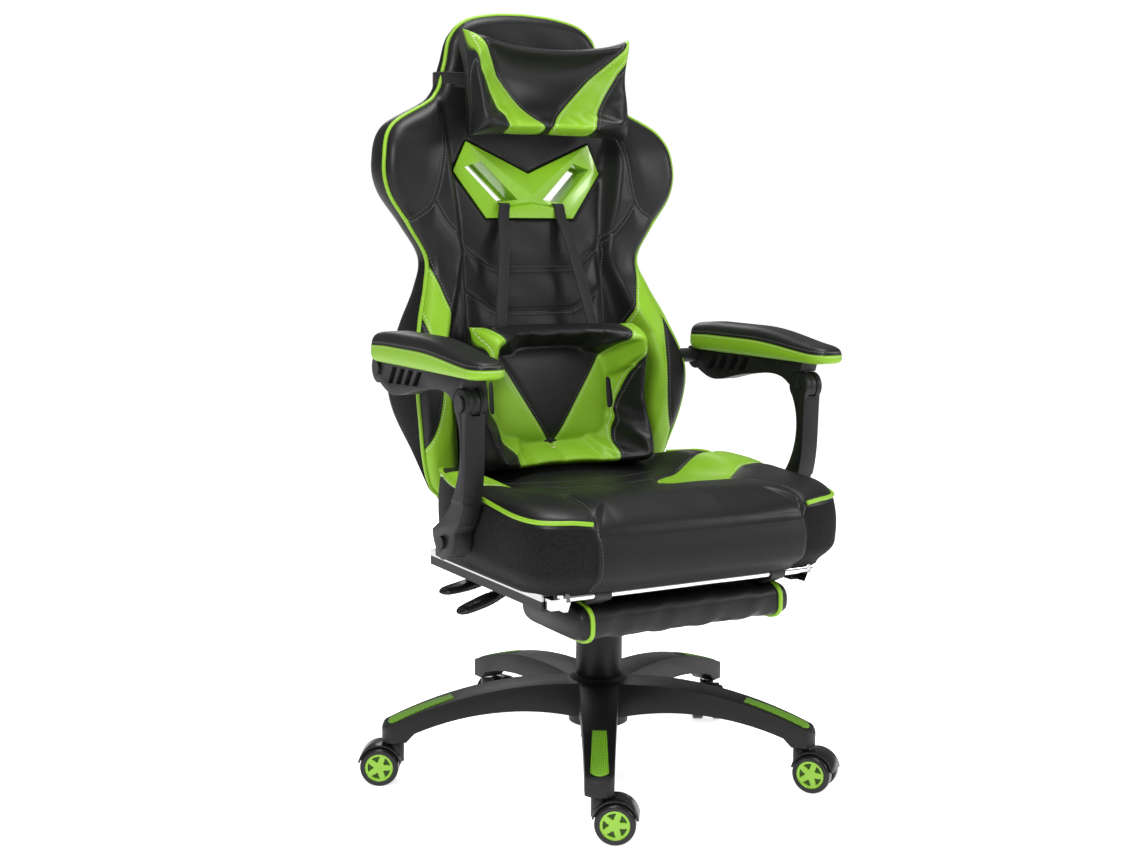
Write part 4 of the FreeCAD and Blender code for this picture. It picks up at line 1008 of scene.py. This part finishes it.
def makeLumbarPillow():
    rows = [lumbarRow(v) for v in np.linspace(-1, 1, lumbar["rows"])]
    piece = stuffedShell("lumbarPillowCover", rows, lumbar["columns"], lumbar["thickness"], lumbarFields)
    inflate(piece, 5.0, 20, 0.030)
    seam = np.abs(readField(piece, "green"))
    middle = (lumbar["high"] + lumbar["low"]) / 2

    def place(points):
        x, y, z = points[:, 0], points[:, 1], points[:, 2]
        span = max(1e-6, y.max() - y.min())
        y = y * (lumbar["thickness"] / span)
        y = np.where(y > 0, y * 0.35, y * 1.5)
        y = y + 0.0024 * np.exp(-(seam / 0.005) ** 2) * np.where(y < 0, 1, 0)
        height = z + middle
        rear = floorDepth(height) - 0.0045
        hug = -0.024 * (np.abs(x) / 0.139) ** 2.5
        return np.stack([x, rear - 0.020 + y + hug, height], axis=1)

    movePoints(piece, place)
    pillowFinish(piece, "lumbar_pillow", "lumbar_pillow")
    return piece


def makeRibbon(name, centre, across, normal, thickness, body, *nodes):
    # flat webbing with a selvedge, along a line, its width and its face given at each point
    bed = np.array([-1.0, -0.86, -0.72, 0.0, 0.72, 0.86, 1.0])
    lift = np.array([0.0, 1.0, 0.72, 0.78, 0.72, 1.0, 0.0])
    loops = []
    for place, side, out in zip(centre, across, normal):
        top = [place + side * u + out * thickness * h for u, h in zip(bed, lift)]
        under = [place + side * u for u in bed[::-1][1:-1]]
        loops.append(np.array(top + under))
    piece = loft(name, loops, 40)
    return dress(piece, body, "black_webbing", "black_webbing", *nodes)


band = {"height": 0.994, "half": 0.012, "thickness": 0.0016}


def makeHeadBand():
    # elastic drawn round the neck of the backrest
    z = band["height"]
    half = float(np.interp(z, backLine[:, 1], backLine[:, 0])) + 0.0012
    x = np.linspace(-half, half, 90)
    inner = half - np.abs(x)
    near = np.clip(1 - inner / back["edge"], 0, 1)
    front = crestDepth(x, z) + back["edge"] * (1 - np.sqrt(1 - near ** 2 * 0.98)) * 0.9 - 0.0012
    nearRear = np.clip(1 - inner / back["rearRound"], 0, 1)
    rear = profile(back["rear"], z) - back["rearFall"] * (1 - np.sqrt(1 - nearRear ** 2 * 0.98)) + 0.0012
    steps = np.linspace(0, 1, 14)[1:-1]
    turn = front[-1] + (rear[-1] - front[-1]) * steps
    edge = np.stack([half + 0.0062 * np.sin(steps * math.pi), turn], axis=1)
    right = np.vstack([np.stack([x, front], axis=1), edge])
    left = np.vstack([np.stack([x[::-1], rear[::-1]], axis=1), edge[::-1] * [-1, 1]])
    loop = evenly(np.vstack([right, left, right[:1]]), 240)
    centre = np.column_stack([loop, np.full(len(loop), z)])
    run = np.roll(loop[:-1], -1, axis=0) - np.roll(loop[:-1], 1, axis=0)
    run = np.vstack([run, run[:1]])
    out = np.column_stack([run[:, 1], -run[:, 0], np.zeros(len(run))])
    out = out / np.linalg.norm(out, axis=1)[:, None]
    across = np.tile([0, 0, band["half"]], (len(loop), 1))
    makeRibbon("headBand", centre, across, out, band["thickness"], "head_pillow", "head_pillow_band")


strap = {"top": (0.047, 0.811), "end": (0.079, 0.634), "half": 0.0092, "thickness": 0.0014}


def makeStraps():
    # out of the vent, over its lower bar and down to the pillow's top seam
    for sign, side in ((-1, "Left"), (1, "Right")):
        x0, z0 = strap["top"]
        x1, z1 = strap["end"]
        y0 = float(floorDepth(z0)) - 0.0105
        y1 = float(floorDepth(z1)) - 0.036
        line = [(x0 - 0.001, y0 + 0.024, z0 + 0.003), (x0 - 0.0005, y0 + 0.006, z0 + 0.0025), (x0, y0 + 0.001, z0),
                (x0 + 0.003, y0 - 0.0012, z0 - 0.018)]
        line += [(x0 + (x1 - x0) * t, y0 + (y1 - y0) * t - 0.0015 * math.sin(t * math.pi), z0 + (z1 - z0) * t)
                 for t in (0.3, 0.5, 0.7, 0.9, 1.0)]
        line = np.array(line) * [sign, 1, 1]
        line = evenly(smoothLine(line, 8), 70)
        run = np.gradient(line, axis=0)
        run = run / np.linalg.norm(run, axis=1)[:, None]
        side3 = np.array([1.0, 0.0, 0.0]) - run * run[:, :1]
        side3 = side3 / np.linalg.norm(side3, axis=1)[:, None]
        out = np.cross(side3, run)
        out = out * np.where(out[:, 1] > 0, -1, 1)[:, None]
        ribbon = makeRibbon("lumbarStrap" + side, line, side3 * strap["half"], out, strap["thickness"], "backrest",
                            "lumbar_straps")
        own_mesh(ribbon)


makeHeadPillow()
makeHeadBand()
makeStraps()
makeLumbarPillow()
print("pillows stuffed")


footPad = {"endGap": 0.010, "length": 150, "around": 64, "cord": 0.0032}


def makeFootPad():
    low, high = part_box("footrest_pad")
    middle = (low + high) / 2
    size = high - low
    half = size[0] / 2 - 0.002
    table = []
    x = np.linspace(-1, 1, footPad["length"])
    angle = np.linspace(0, 2 * math.pi, footPad["around"], endpoint=False)
    for place in x:
        inner = min(1.0, (1 - abs(place)) * half / 0.020)
        close = math.sqrt(max(0.0, 1 - (1 - inner) ** 2)) if inner < 1 else 1.0
        cosine, sine = np.cos(angle), np.sin(angle)
        ringY = np.sign(cosine) * np.abs(cosine) ** 0.42 * size[1] / 2
        ringZ = np.sign(sine) * np.abs(sine) ** 0.62 * size[2] / 2
        crown = 1 + 0.03 * math.cos(place * 1.4)
        scale = 0.80 + 0.20 * close
        wrinkle = 0.0005 * np.sin(place * 17 + np.sin(angle * 2) * 2.2) + 0.0003 * np.sin(place * 31 + angle * 3)
        ringY = ringY * (1 - 0.06 * (1 - close)) + wrinkle
        ringZ = ringZ * scale * crown + wrinkle * 1.3
        table.append(np.stack([np.full(len(angle), place * half), middle[1] + ringY * 0.985,
                               middle[2] + np.clip(ringZ, -size[2] / 2, size[2] / 2)], axis=1))
    piece = loft("footrestPadCover", table, 60)
    dress(piece, "footrest_pad", "plain", "black_leather", "footrest_pad")
    for sign in (1, -1):
        index = int(round((0.5 + sign * 0.5 * (1 - 0.016 / half)) * (len(x) - 1)))
        loop = table[index].copy()
        centre = loop.mean(axis=0)
        loop[:, 1:] = centre[1:] + (loop[:, 1:] - centre[1:]) * 1.015
        cord = pipeAlong("footrestPiping" + ("Left" if sign > 0 else "Right"), loop, footPad["cord"], closed=True)
        dress(cord, "footrest_pad", "piping", "black_leather")
    return piece


makeFootPad()
print("footrest pad made")


armPad = {"sections": 150, "around": 96, "sideBand": 0.60}


def makeArmPad(sideName):
    node = "arm_pad_" + sideName
    low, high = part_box(node)
    middle = (low + high) / 2
    half = (high[0] - low[0]) / 2
    front, rear, crown, under = low[1], high[1], high[2], low[2]
    length = rear - front
    rows, fields = [], {"green": [], "seam": [], "along": []}
    for place in np.linspace(0, 1, armPad["sections"]):
        y = front + length * place
        taper = min(1, math.sqrt(max(0.0, 1 - (1 - min(1, place * length / 0.030)) ** 2)))
        taper = min(taper, math.sqrt(max(0.0, 1 - (1 - min(1, (1 - place) * length / 0.022)) ** 2)))
        width = half * (0.985 - 0.05 * ease((0.45 - place) / 0.45)) * (0.25 + 0.75 * taper)
        top = crown - 0.020 * ease((0.55 - place) / 0.55) ** 1.3 - 0.004 * ease((place - 0.8) / 0.2)
        bottom = under
        tall = top - bottom
        shrink = 0.45 + 0.55 * taper
        centre = bottom + tall * 0.45
        angle = np.linspace(0, 2 * math.pi, armPad["around"], endpoint=False) - math.pi / 2
        cosine, sine = np.cos(angle), np.sin(angle)
        x = np.sign(cosine) * np.abs(cosine) ** 0.55 * width
        z = np.where(sine > 0, np.abs(sine) ** 0.75 * (top - centre), -np.abs(sine) ** 0.45 * (centre - bottom))
        z = centre + z * shrink
        green = bottom + tall * armPad["sideBand"] - z
        seam = np.abs(green)
        x = x * (1 + 0.02 * np.sin(np.clip(green / 0.02, 0, 1) * math.pi))
        z = z - 0.0012 * np.exp(-(seam / 0.003) ** 2)
        rows.append(np.stack([middle[0] + x, np.full(len(x), y), z], axis=1))
        fields["green"].append(green)
        fields["seam"].append(seam)
        fields["along"].append(np.full(len(x), y))
    values = {key: np.concatenate(value) for key, value in fields.items()}
    values["cloth"] = np.full(len(values["green"]), -0.02)
    piece = loft(node + "_cover", rows, 60, values)
    dress(piece, "arm_" + sideName, "panels", "black_leather", node)


for sideName in ("left", "right"):
    makeArmPad(sideName)
print("arm pads made")


wheel = {"spokes": 5, "capShare": 0.72, "segments": 90, "width": 0.017}


def makeWheel(name):
    # turned tread with a rounded shoulder and a spoked cap let into its outer face
    low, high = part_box(name)
    radius = (high[2] - low[2]) / 2
    bpy.ops.mesh.primitive_cylinder_add(vertices=wheel["segments"], radius=radius, depth=wheel["width"],
                                        end_fill_type="NGON")
    piece = bpy.context.object
    piece.name = name + "_turned"
    cap = radius * wheel["capShare"]
    applyModifier(piece, "BEVEL", width=0.0035, segments=4, limit_method="ANGLE", angle_limit=math.radians(60))
    bpy.ops.object.mode_set(mode="EDIT")
    selectFaces(piece, lambda face: face.normal.z > 0.9 and len(face.vertices) > 20)
    bpy.ops.mesh.inset(thickness=radius - 0.0035 - cap, depth=0)
    bpy.ops.mesh.inset(thickness=0.0008, depth=-0.0012)
    bpy.ops.mesh.inset(thickness=cap * 0.14, depth=0.0)
    for _ in range(5):
        bpy.ops.mesh.inset(thickness=cap * 0.10, depth=0.0)
    bpy.ops.object.mode_set(mode="OBJECT")
    return piece


def selectFaces(piece, test):
    # works in edit mode by stepping out and back
    bpy.ops.object.mode_set(mode="OBJECT")
    for edge in piece.data.edges:
        edge.select = False
    for vertex in piece.data.vertices:
        vertex.select = False
    for face in piece.data.polygons:
        face.select = bool(test(face))
    bpy.ops.object.mode_set(mode="EDIT")
    bpy.ops.mesh.select_mode(type="FACE")


def wheelPattern():
    low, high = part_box("caster_wheel_1a")
    radius = (high[2] - low[2]) / 2
    piece = makeWheel("caster_wheel_1a")
    piece.name = "wheelPattern"
    finishList = ["glossNylon", "green_plastic", "hubPocketShade"]
    for key in finishList:
        piece.data.materials.append(finishes[key])
    cap = radius * wheel["capShare"]
    ringLow, ringHigh = cap * 0.44, cap * 0.86

    def pocket(face):
        away = math.hypot(face.center.x, face.center.y)
        turn = math.degrees(math.atan2(face.center.y, face.center.x)) % (360 / wheel["spokes"])
        wide = 9 + 17 * (away - ringLow) / (ringHigh - ringLow)
        return face.normal.z > 0.9 and ringLow < away < ringHigh and abs(turn - 36) < wide and face.center.z > 0

    selectFaces(piece, pocket)
    bpy.ops.mesh.extrude_region_move(TRANSFORM_OT_translate={"value": (0, 0, -0.0028)})
    bpy.ops.object.mode_set(mode="OBJECT")
    for face in piece.data.polygons:
        away = math.hypot(face.center.x, face.center.y)
        if away < cap + 0.0004 and face.center.z > 0.004:
            face.material_index = 1
            # pocket floors take the painted-shade finish
            if face.select and face.normal.z > 0.5:
                face.material_index = 2
    applyModifier(piece, "BEVEL", width=0.0005, segments=2, limit_method="ANGLE", angle_limit=math.radians(50))
    smoothShade(piece, 35)
    return piece


# painted shade: a darkened copy of the lime plastic for the floors of the hub pockets
finishes["hubPocketShade"] = nylonFinish("hubPocketShade", (0.03, 0.06, 0.01, 1), 0.5, 0.3)
pattern = wheelPattern()
for number in range(1, 6):
    for sideName in ("a", "b"):
        node = "caster_wheel_%d%s" % (number, sideName)
        low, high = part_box(node)
        middle = (low + high) / 2
        spin = joints["wheel_spin_%d%s" % (number, sideName)]
        axle = np.array(spin["axis"], float)
        other = "b" if sideName == "a" else "a"
        pairLow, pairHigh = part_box("caster_wheel_%d%s" % (number, other))
        pair = (pairLow + pairHigh) / 2
        outward = np.array(middle) - np.array(pair)
        if np.dot(outward, axle) < 0:
            axle = -axle
        mesh = pattern.data.copy()
        piece = bpy.data.objects.new(node + "_turned", mesh)
        bpy.context.collection.objects.link(piece)
        up = np.array([0.0, 0.0, 1.0])
        across = np.cross(up, axle)
        turning = Matrix((tuple(across), tuple(up), tuple(axle))).transposed().to_4x4()
        mesh.transform(Matrix.Translation(tuple(middle)) @ turning)
        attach(piece, "wheel_%d%s" % (number, sideName))
        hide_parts(node)
bpy.data.objects.remove(pattern)
print("casters made")


bezel = {
    # across, height, distance in front of the centre panel
    "spots": [(0, 0.859, 0.003), (0.105, 0.905, 0.003), (0.126, 0.861, 0.002), (0.075, 0.792, 0.002),
              (0.037, 0.7925, 0.006), (0.038, 0.808, 0.009), (0, 0.8135, 0.010), (0, 0.826, 0.011),
              (0, 0.7925, 0.006), (0.080, 0.876, 0.004), (0.107, 0.867, 0.003), (0.056, 0.816, 0.003),
              (0.022, 0.820, 0.005), (0.040, 0.811, 0.003), (0, 0.817, 0.004)],
    "facets": [(0, 7, 1), (1, 7, 12, 9), (1, 9, 10, 2), (2, 10, 11, 3), (3, 11, 13), (3, 13, 5, 4),
               (12, 7, 14, 13), (11, 12, 13), (13, 14, 6, 5), (5, 6, 8, 4)],
    "rim": [0, 1, 2, 3, 4, 8], "window": [9, 10, 11, 12], "rimDepth": -0.005, "wallDepth": -0.0372, "edge": 0.0011,
}


def makeBezel():
    spots = np.array(bezel["spots"], float)

    def place(x, z, proud):
        return (x, float(floorDepth(z)) - proud, z)

    points, faces = [], []
    for sign in (1, -1):
        base = len(points)
        points += [place(sign * x, z, proud) for x, z, proud in spots]
        facets = [list(face) for face in bezel["facets"]]
        rimBack = len(spots)
        rimDepth = bezel["rimDepth"]
        points += [place(sign * spots[k][0] * 0.985, spots[k][1] * 0.999, rimDepth) for k in bezel["rim"]]
        for k in range(len(bezel["rim"]) - 1):
            facets.append([bezel["rim"][k], bezel["rim"][k + 1], rimBack + k + 1, rimBack + k])
        wallBack = rimBack + len(bezel["rim"])
        points += [place(sign * spots[k][0], spots[k][1], bezel["wallDepth"]) for k in bezel["window"]]
        for k in range(4):
            after = (k + 1) % 4
            facets.append([bezel["window"][k], wallBack + k, wallBack + after, bezel["window"][after]])
        for face in facets:
            shifted = [base + index for index in face]
            faces.append(shifted if sign > 0 else shifted[::-1])
    piece = makeMesh("ventBezel", points, faces)
    outwardNormals(piece, 0.0002)
    applyModifier(piece, "BEVEL", width=bezel["edge"], segments=3, limit_method="ANGLE",
                  angle_limit=math.radians(9))
    smoothShade(piece, 24)
    dress(piece, "backrest", "green_plastic", "green_plastic", "vent_trim_front")


makeBezel()
print("vent bezel made")


paddle = {"rings": 46, "around": 40, "stations": [0.0, 0.06, 0.16, 0.30, 0.5, 0.72, 0.88, 0.965, 1.0],
          "width": [0.30, 0.42, 0.50, 0.86, 1.0, 0.98, 0.86, 0.55, 0.12],
          "thick": [0.75, 0.85, 0.85, 1.0, 0.95, 0.82, 0.66, 0.42, 0.10], "half": 0.0150, "deep": 0.0072}


def makePaddle(lever):
    # moulded grip on the end of a lever: ribbed neck, dished finger face, round tip
    low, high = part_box(lever + "_lever_paddle")
    middle = (low[1] + high[1]) / 2
    start = np.array([high[0], middle, high[2] - 0.0064])
    tip = np.array([low[0], middle, low[2] + 0.0048])
    run = tip - start
    length = float(np.linalg.norm(run))
    run = run / length
    up = np.array([-run[2], 0.0, run[0]])
    up = up if up[2] > 0 else -up
    loops = []
    angle = np.linspace(0, 2 * math.pi, paddle["around"], endpoint=False)
    for t in np.linspace(0, 1, paddle["rings"]):
        wide = float(np.interp(t, paddle["stations"], paddle["width"])) * paddle["half"]
        thick = float(np.interp(t, paddle["stations"], paddle["thick"])) * paddle["deep"]
        rib = 0.0011 * max(0.0, math.sin(t * 150)) if 0.03 < t < 0.24 else 0.0
        across = np.sign(np.cos(angle)) * np.abs(np.cos(angle)) ** 0.7 * (wide + rib)
        lift = np.sign(np.sin(angle)) * np.abs(np.sin(angle)) ** 0.7 * (thick + rib)
        dish = 0.0022 * math.exp(-((t - 0.62) / 0.16) ** 2) * np.exp(-(across / (wide * 0.6 + 1e-6)) ** 2)
        lift = lift - dish * (lift > 0)
        loops.append(start + run * length * t + np.outer(across, [0, 1, 0]) + np.outer(lift, up))
    piece = loft(lever + "LeverGrip", loops, 50)
    dress(piece, lever + "_lever", "glossNylon", "nylon_black", lever + "_lever_paddle")


makePaddle("height")
makePaddle("recline")
print("lever paddles made")


rounded = {
    "star_base": ("base", "nylon_black", "nylon_black", 0.0030),
    "leg_grip_inserts": ("base", "grip", "green_plastic", 0.0006),
    "column_outer_tube": ("base", "black_steel", "black_steel", 0.0),
    "column_cover_lower": ("base", "nylon_black", "nylon_black", 0.0012),
    "column_cover_upper": ("gas_lift", "nylon_black", "nylon_black", 0.0012),
    "vent_trim_rear": ("backrest", "green_plastic", "green_plastic", 0.0012),
    "arm_link_left": ("arm_left", "nylon_black", "nylon_black", 0.0030),
    "arm_link_right": ("arm_right", "nylon_black", "nylon_black", 0.0030),
    "arm_upright_left": ("arm_upright_left", "nylon_black", "nylon_black", 0.0030),
    "arm_upright_right": ("arm_upright_right", "nylon_black", "nylon_black", 0.0030),
}
for number in range(1, 6):
    rounded["caster_hood_%d" % number] = ("caster_%d" % number, "glossNylon", "nylon_black", 0.0012)
for node, (body, finish, slotName, edge) in rounded.items():
    refineNode(node, body, finish, slotName, edge)

special = {"footrest_rails": "rail", "footrest_pad_hinges": "black_steel"}
slots = {entry["node"]: entry["material_slot"] for entry in record["subparts"]}
for node, thing in frame["nodes"].items():
    if thing.hide_render:
        continue
    for index in range(len(thing.data.materials)):
        thing.data.materials[index] = finishes[special.get(node, slots[node])]
print("remaining parts painted")

bpy.context.view_layer.update()
